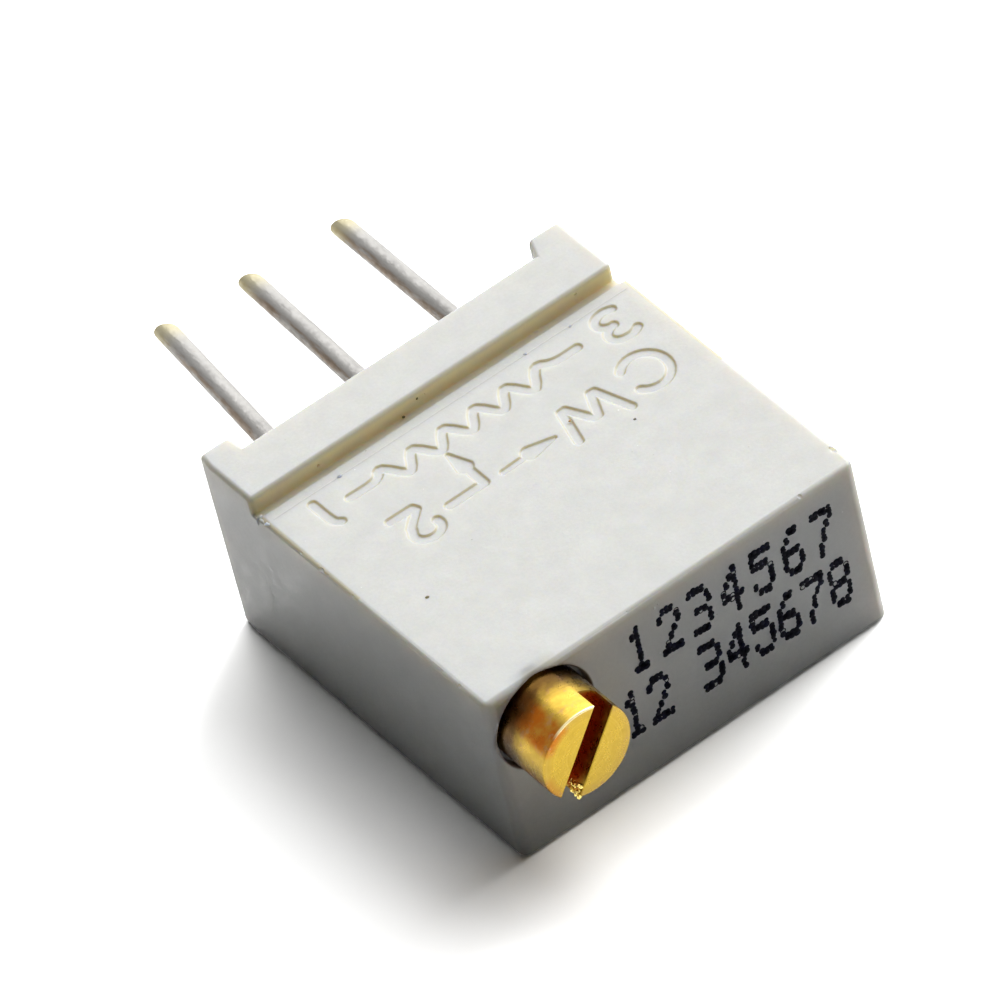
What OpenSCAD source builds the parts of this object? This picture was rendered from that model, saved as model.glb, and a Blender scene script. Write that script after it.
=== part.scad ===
// Square multi-turn trimmer potentiometer: slotted adjusting screw, three wire terminals.
// X runs along the terminal row, Y from the screw face to the terminals, Z up from the resting face.
// The origin is the centre of the resting face of the body.

/* [Housing] */
// Width of the body at the screw face
body_w = 9.53; // [8.5:0.01:12]
// Depth of the body from the screw face to the terminal face
body_d = 9.53; // [8.5:0.01:12]
// Thickness of the body under the marked face
body_t = 4.52; // [4.4:0.01:6]
// Draft of each side wall in degrees, opening towards the terminal face
side_draft = 0.3; // [0.05:0.05:1]
// Radius along the long edges of the body
edge_r = 0.15; // [0.05:0.01:0.2]
// Radius of the two upright corners at the screw face
corner_r = 0.25; // [0.1:0.01:0.3]
// Depth of the raised collar along the terminal face
collar_d = 1.43; // [1:0.01:1.5]
// Depth of the rear zone, which holds the collar and the channel in front of it
rear_d = 1.65; // [1.55:0.01:1.8]
// Depth of the shallow channel in front of the collar, below the marked face
channel_sink = 0.08; // [0.02:0.01:0.12]
// Height of the collar above the marked face
collar_h = 0.39; // [0.35:0.01:0.8]
// Step of the rear zone inside the plain side wall
collar_inset = 0.115; // [0.05:0.005:0.3]
// Height of the two standoff feet above the terminal face
foot_h = 0.48; // [0.2:0.01:1]
// Width of each standoff foot at its tip, screw side first
foot_w = [0.74, 0.8]; // [0.5:0.01:1.2]
// Slope of each foot, as the width it loses from root to tip
foot_taper = [0.12, 0.18]; // [0.02:0.01:0.3]
// Share of the first foot's slope that lies on its outer side
outer_share = 0.5; // [0:0.05:1]
// Thickness of the side walls
side_wall = 1.1; // [0.9:0.01:1.15]
// Thickness of the wall behind the screw face
front_wall = 1.0; // [0.9:0.01:1.2]
// Thickness of the wall at the resting face
back_wall = 0.8; // [0.5:0.01:0.9]
// Thickness of the wall at the marked face
marked_wall = 0.62; // [0.5:0.01:0.75]
// Width of the ledges and ribs that carry the substrate
ledge_w = 0.5; // [0.3:0.01:0.8]

/* [Terminals] */
// Distance between neighbouring terminals
terminal_pitch = 2.54; // [2:0.01:3.2]
// Diameter of a terminal wire
wire_d = 0.5; // [0.4:0.01:0.65]
// Height of the terminal row above the resting face
row_z = 2.41; // [2.35:0.01:2.6]
// Lean of each free wire towards +X in degrees
wire_lean = [5.3, 2.0, 0.6]; // [-8:0.1:8]
// Free length of each wire beyond the terminal face
wire_free = [6.67, 6.53, 6.41]; // [2:0.01:15]
// Slant of the sheared wire tips in degrees
tip_slant = 28; // [0:1:45]
// Length of wire that lies on the substrate
wire_lap = 0.8; // [0.6:0.01:1]
// Thickness of the potting that closes the terminal face
seal_t = 1.1; // [0.8:0.01:1.4]
// Depth of the potting's surface below the terminal face
seal_recess = 0.06; // [0.02:0.01:0.3]

/* [Adjusting screw] */
// Distance of the screw axis from the plain side wall
screw_inset_x = 1.27; // [1.25:0.01:1.4]
// Distance of the screw axis below the marked face
screw_inset_z = 1.22; // [1.21:0.01:1.35]
// Radius of the slotted head
head_r = 1.095; // [0.95:0.005:1.1]
// Length of head standing out of the screw face
head_reach = 1.42; // [0.5:0.01:3]
// Length of head that sits in the recess
head_seat = 0.3; // [0.2:0.01:0.4]
// Width of the driver slot
slot_w = 0.5; // [0.3:0.01:0.6]
// Depth of the driver slot
slot_d = 0.6; // [0.3:0.01:1]
// Turn of the driver slot from the X axis in degrees
slot_turn = 54.7; // [0:0.1:180]
// Radius of the shank in the front wall
shank_r = 0.76; // [0.74:0.005:0.8]
// Radius of the floor of the seal groove
groove_r = 0.46; // [0.4:0.01:0.55]
// Width of the seal groove
groove_w = 0.36; // [0.3:0.01:0.42]
// Radius of the neck that the retainer grips
neck_r = 0.4; // [0.35:0.01:0.5]
// Thickness of the retainer plate
retainer_t = 0.25; // [0.15:0.01:0.4]
// Radius of the worm at its pitch line
worm_pitch_r = 0.5347; // [0.5:0.0001:0.56]
// Distance between neighbouring worm threads along the axis
thread_pitch = 0.6; // [0.55:0.01:0.65]
// Length of the worm thread
thread_len = 3.6; // [2.4:0.1:4]

/* [Rotor] */
// Width of the rotor's toothed rim
face_w = 0.8; // [0.6:0.01:0.9]
// Pressure angle of worm and rotor teeth in degrees
pressure_angle = 20; // [15:0.5:25]
// Radius of the rotor's bearing pin
pin_r = 0.45; // [0.35:0.01:0.5]
// Radius of the shoulder that rides on the substrate
shoulder_r = 0.7; // [0.6:0.01:0.75]
// Thickness of the spring sheet of the wiper
spring_t = 0.08; // [0.05:0.01:0.12]
// Width of one wiper finger
finger_w = 0.18; // [0.12:0.01:0.22]
// Travel of the wiper to each side of its middle, in degrees
half_travel = 145.2; // [120:0.1:147]

/* [Element] */
// Thickness of the ceramic substrate
substrate_t = 0.635; // [0.5:0.005:0.7]
// Thickness of the printed films
film_t = 0.02; // [0.015:0.005:0.03]
// Width of the resistive track
track_w = 0.56; // [0.4:0.01:0.6]
// Mean radius of the collector ring
collector_r = 1.1; // [1.05:0.01:1.2]
// Width of the collector ring
collector_w = 0.4; // [0.3:0.01:0.5]

/* [Fits] */
// Radial clearance of turning pieces
run_fit = 0.03; // [0.02:0.005:0.04]
// Clearance around pieces that are slid or laid in place
seat_fit = 0.02; // [0.01:0.005:0.03]
// Radial clearance of the screw head in its recess
head_fit = 0.06; // [0.03:0.005:0.1]
// Free play between worm and rotor tooth flanks, measured along the worm axis
flank_fit = 0.05; // [0.04:0.005:0.06]

/* [Hidden] */

$fn = 64;
// Overshoot that lets a cut pass cleanly through a face
over = 0.5;

// Swelling of a wire's radius at its bend
bend_swell = 0.005;

// Planes of the housing
front_y = -body_d / 2;
base_y = body_d / 2;
foot_y = base_y + foot_h;
collar_y = base_y - collar_d;
rear_y = base_y - rear_d;
step_x = body_w / 2 - collar_inset;
collar_top = body_t + collar_h;
inner_x = body_w / 2 - side_wall;
inner_front = front_y + front_wall;
inner_top = body_t - marked_wall;
seal_y = base_y - seal_t;
// Half width that the draft adds from the screw face to the foot tips
draft_growth = (foot_y - front_y) * tan(side_draft);

// Adjusting screw
screw_x = -body_w / 2 + screw_inset_x;
screw_z = body_t - screw_inset_z;
head_y = front_y - head_reach;
head_back = front_y + head_seat;
recess_r = head_r + head_fit;
recess_y = head_back + seat_fit;
bore_r = shank_r + run_fit;
head_chamfer = 0.04;
groove_y = (recess_y + inner_front) / 2 - groove_w / 2;
ring_wire_r = (bore_r - groove_r) / 2 - seat_fit;
neck_y = inner_front - seat_fit;
land_y = inner_front + retainer_t + seat_fit;
tail_len = 0.25;

// Worm and rotor teeth
gear_module = thread_pitch / PI;
addendum = gear_module;
dedendum = 1.25 * gear_module;
worm_r = worm_pitch_r + addendum;
worm_root_r = worm_pitch_r - dedendum;
channel_r = worm_r + run_fit + seat_fit;
channel_end = thread_len / 2 + tail_len + seat_fit + 0.1;
lead_slope = thread_pitch / (2 * PI * worm_pitch_r);
rim_room = min(-screw_x - worm_pitch_r, body_d / 2 - front_wall - addendum - 0.35);
tooth_count = round(2 * rim_room / gear_module);
rotor_pitch_r = tooth_count * gear_module / 2;
rotor_x = screw_x + worm_pitch_r + rotor_pitch_r;
rim_z = screw_z - face_w / 2;
rim_twist = face_w * lead_slope / rotor_pitch_r * 180 / PI;

// Stack of the element: substrate, films, wiper, rotor disc
film_top = row_z - wire_d / 2 - 0.005;
substrate_top = film_top - film_t;
substrate_z = substrate_top - substrate_t;
substrate_x = inner_x - seat_fit;
substrate_front = inner_front + retainer_t + 0.1;
track_r = rotor_pitch_r - 0.32;
wiper_gap = (rim_z - film_top) * 0.53;
disc_z = film_top + wiper_gap;
disc_r = track_r - 0.4;
finger_tip_r = spring_t * 0.75;
track_half = half_travel - 5;
lead_end = half_travel + 4;
end_angle = 90 - lead_end;
lead_arc = lead_end - track_half;
pad_w = 0.9;
collector_tail = 0.8;
solder_r = wire_d / 2 + 0.13;
solder_len = 0.62;
solder_y = seal_y - solder_len - 0.08;

// Places its 2D child in the XZ plane and extrudes it along +Y from y = 0
module along_y(length) {
    translate([0, length, 0])
        rotate([90, 0, 0])
            linear_extrude(length) children();
}

// Places its 2D child in the YZ plane and extrudes it along +X from x = 0
module along_x(length) {
    rotate([90, 0, 90])
        linear_extrude(length) children();
}

// Sets the axis of its child, built along Z, on the screw axis pointing to +Y
module on_screw_axis(y) {
    translate([screw_x, y, screw_z])
        rotate([-90, 0, 0]) children();
}

// Strip that starts at x = 0 with two rounded corners there
module nosed_strip(length, height, r) {
    translate([r, 0]) square([length - r, height]);
    translate([0, r]) square([length, height - 2 * r]);
    for (y = [r, height - r]) {
        translate([r, y]) circle(r);
    }
}

// Block bounded by the drafted left wall, with its long edges rounded
module left_wall_block(height) {
    translate([-body_w / 2, front_y, 0])
        rotate([0, 0, side_draft])
            translate([0, -over, 0])
                along_y(foot_y - front_y + 2 * over) nosed_strip(body_w + 2, height, edge_r);
}

// Body between both drafted walls, up to a height
module drafted_body(height) {
    intersection() {
        left_wall_block(height);
        mirror([1, 0, 0]) left_wall_block(height);
    }
}

// Plan outline of the body with its upright corners rounded at the screw face
module plan_outline(end_y) {
    centre_x = body_w / 2 - corner_r * (1 - sin(side_draft)) / cos(side_draft);
    centre_y = front_y + corner_r;
    wall_x = centre_x + corner_r * cos(side_draft);
    wall_y = centre_y - corner_r * sin(side_draft);
    end_x = wall_x + (end_y - wall_y) * tan(side_draft);
    polygon([[-centre_x, front_y], [centre_x, front_y], [wall_x, wall_y], [end_x, end_y],
             [-end_x, end_y], [-wall_x, wall_y]]);
    for (side = [-1, 1]) {
        translate([side * centre_x, centre_y]) circle(corner_r);
    }
}

// Main block, rounded along the edges of the screw face and stepped at its rear zone
module main_block() {
    difference() {
        intersection() {
            drafted_body(body_t);
            linear_extrude(collar_top) plan_outline(base_y);
            translate([-body_w, front_y, 0])
                along_x(2 * body_w) nosed_strip(body_d + over, body_t, edge_r);
        }
        translate([step_x, rear_y, -over])
            cube([2 * over, rear_d + over, body_t + 2 * over]);
        translate([-body_w, rear_y, body_t - channel_sink])
            cube([2 * body_w, rear_d - collar_d + edge_r, over]);
    }
}

// Raised collar along the terminal face, stepped in at the plain side
module collar() {
    intersection() {
        drafted_body(collar_top);
        translate([-body_w, collar_y, 0])
            along_x(body_w + step_x) nosed_strip(collar_d, collar_top, edge_r);
    }
}

// Standoff foot outside the open corner of the plain side, with its tip corners eased
module foot_outline(root_w, tip_w, outer_lean) {
    ease = 0.1;
    polygon([[0, 0], [outer_lean, foot_h - ease], [outer_lean + ease, foot_h],
             [outer_lean + tip_w - ease, foot_h], [outer_lean + tip_w, foot_h - ease],
             [root_w, 0]]);
}

module standoff_feet() {
    drafted_x = body_w / 2 + draft_growth;
    translate([-drafted_x, base_y, 0])
        linear_extrude(collar_top)
            foot_outline(foot_w[0] + foot_taper[0], foot_w[0], foot_taper[0] * outer_share);
    translate([step_x, base_y, 0])
        mirror([1, 0, 0])
            linear_extrude(collar_top) foot_outline(foot_w[1] + foot_taper[1], foot_w[1], 0);
}

// Hollow that the element and the rotor slide into from the terminal face
module inner_hollow() {
    difference() {
        translate([-inner_x, inner_front, back_wall])
            cube([2 * inner_x, base_y - inner_front + over, inner_top - back_wall]);
        for (side = [-1, 1]) {
            ledge_x = side > 0 ? inner_x - ledge_w : -inner_x - over;
            translate([ledge_x, inner_front - over, 0])
                cube([ledge_w + over, seal_y - inner_front + over, substrate_z]);
            translate([side * inner_x / 3 - ledge_w / 2, inner_front - over, 0])
                cube([ledge_w, seal_y - inner_front + over, substrate_z]);
        }
    }
}

module housing() {
    color("#d6d6d2") {
        difference() {
            union() {
                main_block();
                collar();
            }
            inner_hollow();
            on_screw_axis(head_y) cylinder(h = recess_y - head_y, r = recess_r);
            on_screw_axis(head_y) cylinder(h = inner_front + over - head_y, r = bore_r);
            on_screw_axis(inner_front - over) cylinder(h = channel_end - inner_front + over, r = channel_r);
        }
        intersection() {
            drafted_body(collar_top);
            standoff_feet();
        }
    }
}

// Half outline of the turned brass blank, with radius across and distance from the head's face up
module turned_blank() {
    polygon([[0, 0],
             [head_r - head_chamfer, 0],
             [head_r, head_chamfer],
             [head_r, head_back - head_y],
             [shank_r, head_back - head_y],
             [shank_r, groove_y - head_y],
             [groove_r, groove_y - head_y],
             [groove_r, groove_y + groove_w - head_y],
             [shank_r, groove_y + groove_w - head_y],
             [shank_r, neck_y - head_y],
             [neck_r, neck_y - head_y],
             [neck_r, land_y - head_y],
             [worm_r, land_y - head_y],
             [worm_r, -thread_len / 2 - head_y],
             [0, -thread_len / 2 - head_y]]);
}

// Radius of the worm thread at a distance along the axis from the middle of its crest
function thread_radius(along) =
    let (pitch_half = thread_pitch / 4 - flank_fit / 2,
         r = worm_pitch_r + (pitch_half - abs(along)) / tan(pressure_angle))
    min(worm_r, max(worm_root_r, r));

// Turn angles at which a thread's section needs a point: crest, flank and root
function section_angles() =
    let (pitch_half = thread_pitch / 4 - flank_fit / 2,
         crest = 360 * (pitch_half - addendum * tan(pressure_angle)) / thread_pitch,
         foot = 360 * (pitch_half + dedendum * tan(pressure_angle)) / thread_pitch)
    concat([for (i = [-2:2]) crest * i / 2],
           [for (i = [1:4]) crest + (foot - crest) * i / 4],
           [for (i = [1:3]) foot + (180 - foot) * i / 2],
           [for (i = [0:3]) 360 - foot + (foot - crest) * i / 4]);

// Worm thread: its section across the axis, turned once for every thread pitch
module worm_thread() {
    turns = thread_len / thread_pitch;
    rotate([0, 0, -180 * turns])
        linear_extrude(height = thread_len, twist = -360 * turns, slices = ceil(22 * turns), $fn = 12)
            polygon([for (a = section_angles())
                let (r = thread_radius(thread_pitch * (a > 180 ? a - 360 : a) / 360))
                [r * cos(a), r * sin(a)]]);
}

module adjusting_screw() {
    color("#d1a53c")
        difference() {
            union() {
                on_screw_axis(head_y) rotate_extrude() turned_blank();
                on_screw_axis(-thread_len / 2) worm_thread();
                on_screw_axis(thread_len / 2)
                    cylinder(h = tail_len, r1 = worm_root_r * 0.9, r2 = worm_root_r * 0.6);
            }
            translate([screw_x, head_y - over + slot_d, screw_z])
                rotate([0, -slot_turn, 0])
                    cube([3 * head_r, 2 * over, slot_w], center = true);
        }
}

module seal_ring() {
    color("#2b2b2b")
        on_screw_axis(groove_y + groove_w / 2)
            rotate_extrude()
                translate([(bore_r + groove_r) / 2, 0]) circle(ring_wire_r, $fn = 32);
}

// Stamped plate that lies on the inside of the front wall, with two prongs that grip the neck
module screw_retainer() {
    plate_x = -inner_x + seat_fit;
    plate_w = screw_x + bore_r + 0.35 - plate_x;
    plate_z = substrate_z + 0.25;
    plate_h = inner_top - seat_fit - plate_z;
    grip_r = neck_r + run_fit;
    color("#b9bcc0")
        translate([0, inner_front, 0])
            along_y(retainer_t)
                difference() {
                    translate([plate_x, plate_z]) square([plate_w, plate_h]);
                    translate([screw_x, screw_z]) circle(grip_r);
                    translate([plate_x - over, screw_z - grip_r])
                        square([screw_x - plate_x + over, 2 * grip_r]);
                }
}

// Unwinding angle of an involute at a pressure angle, in degrees
function involute(a) = tan(a) * 180 / PI - a;

// Half angle of a rotor tooth at a radius
function tooth_half_angle(r) =
    let (base_r = rotor_pitch_r * cos(pressure_angle),
         play = flank_fit / 2 / rotor_pitch_r * 180 / PI)
    90 / tooth_count - play + involute(pressure_angle) - involute(acos(min(1, base_r / r)));

// Toothed rim outline with a tooth gap facing the worm
module rim_outline() {
    base_r = rotor_pitch_r * cos(pressure_angle);
    root_r = rotor_pitch_r - dedendum;
    tip_r = rotor_pitch_r + addendum;
    flank = [for (i = [0:3]) base_r + (tip_r - base_r) * i / 3];
    polygon([for (tooth = [0:tooth_count - 1])
        let (middle = 180 + 360 * (tooth + 0.5) / tooth_count)
        each concat(
            [[root_r * cos(middle - tooth_half_angle(base_r)), root_r * sin(middle - tooth_half_angle(base_r))]],
            [for (r = flank) let (a = middle - tooth_half_angle(r)) [r * cos(a), r * sin(a)]],
            [for (i = [3:-1:0]) let (r = flank[i], a = middle + tooth_half_angle(r)) [r * cos(a), r * sin(a)]],
            [[root_r * cos(middle + tooth_half_angle(base_r)), root_r * sin(middle + tooth_half_angle(base_r))]])]);
}

module rotor() {
    color("#e8e2d0")
        difference() {
            union() {
                translate([rotor_x, 0, rim_z])
                    rotate([0, 0, -rim_twist / 2])
                        linear_extrude(height = face_w, twist = -rim_twist, slices = 4, $fn = 12) rim_outline();
                translate([rotor_x, 0, disc_z]) cylinder(h = rim_z - disc_z + 0.05, r = disc_r);
                translate([rotor_x, 0, film_top + seat_fit - film_t])
                    cylinder(h = disc_z - film_top + film_t, r = shoulder_r);
                translate([rotor_x, 0, substrate_z + 0.1]) cylinder(h = disc_z - substrate_z, r = pin_r);
                translate([rotor_x, 0, rim_z + face_w - over])
                    cylinder(h = inner_top - seat_fit - rim_z - face_w + over, r = shoulder_r);
                translate([rotor_x, -wiper_root_r(), disc_z - spring_t - 0.04])
                    cylinder(h = spring_t + over, r = stud_r());
            }
            translate([rotor_x, 0, rim_z + face_w - 0.25])
                difference() {
                    cylinder(h = over, r = track_r - 0.1);
                    translate([0, 0, -over]) cylinder(h = 3 * over, r = shoulder_r + 0.3);
                }
        }
}

// Radius of the point where the wiper is staked to the rotor
function wiper_root_r() = (collector_r + track_r) / 2;
// Radius of the stake
function stud_r() = 0.13;

// Side outline of a spring finger that slopes from a fixed end at x = 0 down to its contact
module finger_outline(reach) {
    drop = wiper_gap - spring_t - seat_fit - finger_tip_r;
    slope = atan(drop / reach);
    translate([0, -spring_t])
        rotate([0, 0, -slope]) square([reach / cos(slope), spring_t]);
    translate([reach, seat_fit + finger_tip_r - wiper_gap]) circle(finger_tip_r, $fn = 32);
}

// A row of spring fingers along the radius, from the staked plate to a contact radius
module finger_row(from_r, to_r, count) {
    gap = 0.06;
    pitch = finger_w + gap;
    for (i = [0:count - 1]) {
        translate([(i - (count - 1) / 2) * pitch - finger_w / 2, -from_r, disc_z])
            mirror([0, to_r > from_r ? 1 : 0, 0])
                along_x(finger_w) finger_outline(abs(to_r - from_r));
    }
}

module wiper() {
    plate_half = 0.2;
    plate_w = 0.66;
    color("#c9b26a")
        translate([rotor_x, 0, 0])
            difference() {
                union() {
                    translate([-plate_w / 2, -wiper_root_r() - plate_half, disc_z - spring_t])
                        cube([plate_w, 2 * plate_half, spring_t]);
                    finger_row(wiper_root_r() + plate_half - 0.02, track_r, 3);
                    finger_row(wiper_root_r() - plate_half + 0.02, collector_r, 2);
                }
                translate([0, -wiper_root_r(), disc_z - spring_t - over])
                    cylinder(h = spring_t + 2 * over, r = stud_r() + seat_fit / 2);
            }
}

module substrate() {
    color("#f1eee4")
        difference() {
            translate([-substrate_x, substrate_front, substrate_z])
                cube([2 * substrate_x, seal_y - substrate_front, substrate_t]);
            translate([rotor_x, 0, substrate_z - over])
                cylinder(h = substrate_t + 2 * over, r = pin_r + run_fit);
        }
}

// Flat arc on the substrate around the rotor axis
module film_arc(mean_r, width, start, sweep) {
    translate([rotor_x, 0, substrate_top])
        rotate([0, 0, start])
            rotate_extrude(angle = sweep)
                translate([mean_r - width / 2, 0]) square([width, film_t]);
}

module resistive_track() {
    color("#3b3a38")
        film_arc(track_r, track_w, -90 - track_half, 2 * track_half);
}

// Printed lead from an end of the track to the pad under a terminal
module end_lead(side) {
    pad_x = side * terminal_pitch;
    pad_y = solder_y - 0.15;
    near_r = track_r - track_w / 2;
    far_r = track_r + track_w / 2;
    start = side > 0 ? -90 + track_half : -90 - lead_end;
    outer = side > 0 ? -90 + track_half : -90 - track_half;
    tip = side > 0 ? -90 + lead_end : -90 - lead_end;
    color("#9a9ea3")
        union() {
            film_arc(track_r, track_w, start, lead_arc);
            translate([0, 0, substrate_top])
                linear_extrude(film_t)
                    difference() {
                        polygon([[rotor_x + (far_r - 0.1) * cos(outer), (far_r - 0.1) * sin(outer)],
                                 [rotor_x + far_r * cos(outer) + side * 0.35, far_r * sin(outer) + 0.2],
                                 [pad_x + side * pad_w / 2, pad_y],
                                 [pad_x + side * pad_w / 2, seal_y - 0.05],
                                 [pad_x - side * pad_w / 2, seal_y - 0.05],
                                 [rotor_x + (far_r - 0.1) * cos(tip), (far_r - 0.1) * sin(tip)]]);
                        translate([rotor_x, 0]) circle(near_r + 0.1);
                        translate([rotor_x, 0])
                            rotate([0, 0, -90])
                                intersection() {
                                    circle(far_r + over);
                                    track_sector(far_r + over);
                                }
                    }
        }
}

// Sector that the resistive track takes up, opening away from +X
module track_sector(r) {
    cut = track_half;
    polygon([[0, 0], [2 * r * cos(cut), 2 * r * sin(cut)], [r, 2 * r], [2 * r, 0], [r, -2 * r],
             [2 * r * cos(cut), -2 * r * sin(cut)]]);
}

module end_lead_1() {
    end_lead(-1);
}

module end_lead_3() {
    end_lead(1);
}

module collector() {
    color("#9a9ea3")
        difference() {
            union() {
                film_arc(collector_r, collector_w, 0, 360);
                translate([0, 0, substrate_top])
                    linear_extrude(film_t)
                        polygon([[rotor_x - collector_tail / 2, collector_r],
                                 [rotor_x + collector_tail / 2, collector_r],
                                 [collector_tail / 2, seal_y - 0.05],
                                 [-collector_tail / 2, seal_y - 0.05]]);
            }
            translate([rotor_x, 0, substrate_top - over])
                cylinder(h = 2 * over, r = collector_r - collector_w / 2);
        }
}

// Terminal wire: straight on the substrate and through the potting, then leaning to its sheared tip
module terminal(index) {
    lean = wire_lean[index];
    free = wire_free[index];
    wire_r = wire_d / 2;
    inner_y = seal_y - wire_lap;
    color("#c3c3bf")
        translate([(index - 1) * terminal_pitch, base_y, row_z]) {
            translate([0, inner_y - base_y, 0])
                rotate([-90, 0, 0]) cylinder(h = base_y - inner_y, r = wire_r);
            sphere(wire_r + bend_swell);
            rotate([0, 0, -lean])
                difference() {
                    rotate([-90, 0, 0]) cylinder(h = free, r = wire_r);
                    translate([-wire_r, free, 0])
                        rotate([0, 0, -tip_slant])
                            translate([-over, 0, -over]) cube([2 * over + wire_d, over, 2 * over]);
                }
        }
}

module terminal_1() {
    terminal(0);
}

module terminal_2() {
    terminal(1);
}

module terminal_3() {
    terminal(2);
}

// Solder around the wire on its pad, sloped at both ends
module solder(index) {
    slope = 0.12;
    color("#a8abad")
        difference() {
            translate([(index - 1) * terminal_pitch, solder_y, row_z])
                rotate([-90, 0, 0])
                    rotate_extrude()
                        polygon([[0, 0], [solder_r - slope, 0], [solder_r, slope],
                                 [solder_r, solder_len - slope], [solder_r - slope, solder_len],
                                 [0, solder_len]]);
            translate([(index - 1) * terminal_pitch - over, solder_y - over, film_top - over])
                cube([2 * over, solder_len + 2 * over, over]);
            translate([(index - 1) * terminal_pitch, solder_y - over, row_z])
                rotate([-90, 0, 0]) cylinder(h = solder_len + 2 * over, r = wire_d / 2);
        }
}

module solder_1() {
    solder(0);
}

module solder_2() {
    solder(1);
}

module solder_3() {
    solder(2);
}

// Potting that fills the mouth of the hollow around the wires
module base_seal() {
    color("#c8c2ae")
        difference() {
            translate([-inner_x, seal_y, back_wall])
                cube([2 * inner_x, seal_t - seal_recess, inner_top - back_wall]);
            for (index = [0:2]) {
                translate([(index - 1) * terminal_pitch, seal_y - over, row_z])
                    rotate([-90, 0, 0]) cylinder(h = seal_t + over, r = wire_d / 2);
            }
        }
}

housing();
adjusting_screw();
seal_ring();
screw_retainer();
rotor();
wiper();
substrate();
resistive_track();
end_lead_1();
collector();
end_lead_3();
terminal_1();
terminal_2();
terminal_3();
solder_1();
solder_2();
solder_3();
base_seal();
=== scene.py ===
"""Finished surfaces of a square multi-turn trimmer potentiometer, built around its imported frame.

Lengths are millimetres until a piece is finished, which brings its mesh to metres. X runs along the
terminal row, Y from the screw face to the terminals, and Z up from the resting face.
"""

import logging
import math
import random
from contextlib import contextmanager
from dataclasses import dataclass
from enum import Enum
from functools import reduce
from typing import Callable, Iterator, Sequence

import bmesh
import bpy
import numpy as np
from mathutils import Matrix, Vector, noise


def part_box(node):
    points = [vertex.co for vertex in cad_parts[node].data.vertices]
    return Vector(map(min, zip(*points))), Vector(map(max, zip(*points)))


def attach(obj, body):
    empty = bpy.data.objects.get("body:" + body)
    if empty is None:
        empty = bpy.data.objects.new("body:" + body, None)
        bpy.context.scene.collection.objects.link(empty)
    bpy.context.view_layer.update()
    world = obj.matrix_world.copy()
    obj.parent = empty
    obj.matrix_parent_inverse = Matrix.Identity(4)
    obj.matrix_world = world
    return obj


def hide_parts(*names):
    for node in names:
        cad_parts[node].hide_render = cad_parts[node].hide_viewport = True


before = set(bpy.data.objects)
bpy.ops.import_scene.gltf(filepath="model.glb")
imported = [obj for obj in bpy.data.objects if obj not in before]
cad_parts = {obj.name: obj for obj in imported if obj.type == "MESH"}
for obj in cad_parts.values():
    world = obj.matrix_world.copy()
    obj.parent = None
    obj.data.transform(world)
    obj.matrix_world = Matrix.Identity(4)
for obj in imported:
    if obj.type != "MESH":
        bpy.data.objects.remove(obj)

Colour = tuple[float, float, float]
Triple = tuple[float, float, float]
Point = tuple[float, float]
Socket = bpy.types.NodeSocket
Material = bpy.types.Material
Piece = bpy.types.Object
Shape = bmesh.types.BMesh
Face = bmesh.types.BMFace
Edge = bmesh.types.BMEdge
EdgeTest = Callable[[Edge], bool]
FaceTest = Callable[[Vector, Vector], bool]

LOG = logging.getLogger("trimmer")
MM = 0.001
NEAR = 0.01
TOUCH = 1e-4
POLE = 1e-5
WELD = 1e-6
LEVEL_NORMAL = 0.9999
MAIN_WAY = 0.9
CREASE = math.radians(30)
ROUND_STEPS = 6
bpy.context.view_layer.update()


@dataclass(frozen=True)
class NodeBox:
    """Lowest and highest corner of a frame node, in millimetres."""

    low: Vector
    high: Vector

    @classmethod
    def of(cls, node: str) -> "NodeBox":
        """Reads the box of a node."""
        low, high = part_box(node)
        return cls(Vector(low) / MM, Vector(high) / MM)

    @property
    def middle(self) -> Vector:
        """Centre of the box."""
        return (self.low + self.high) / 2


# ---------------------------------------------------------------- materials


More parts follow.
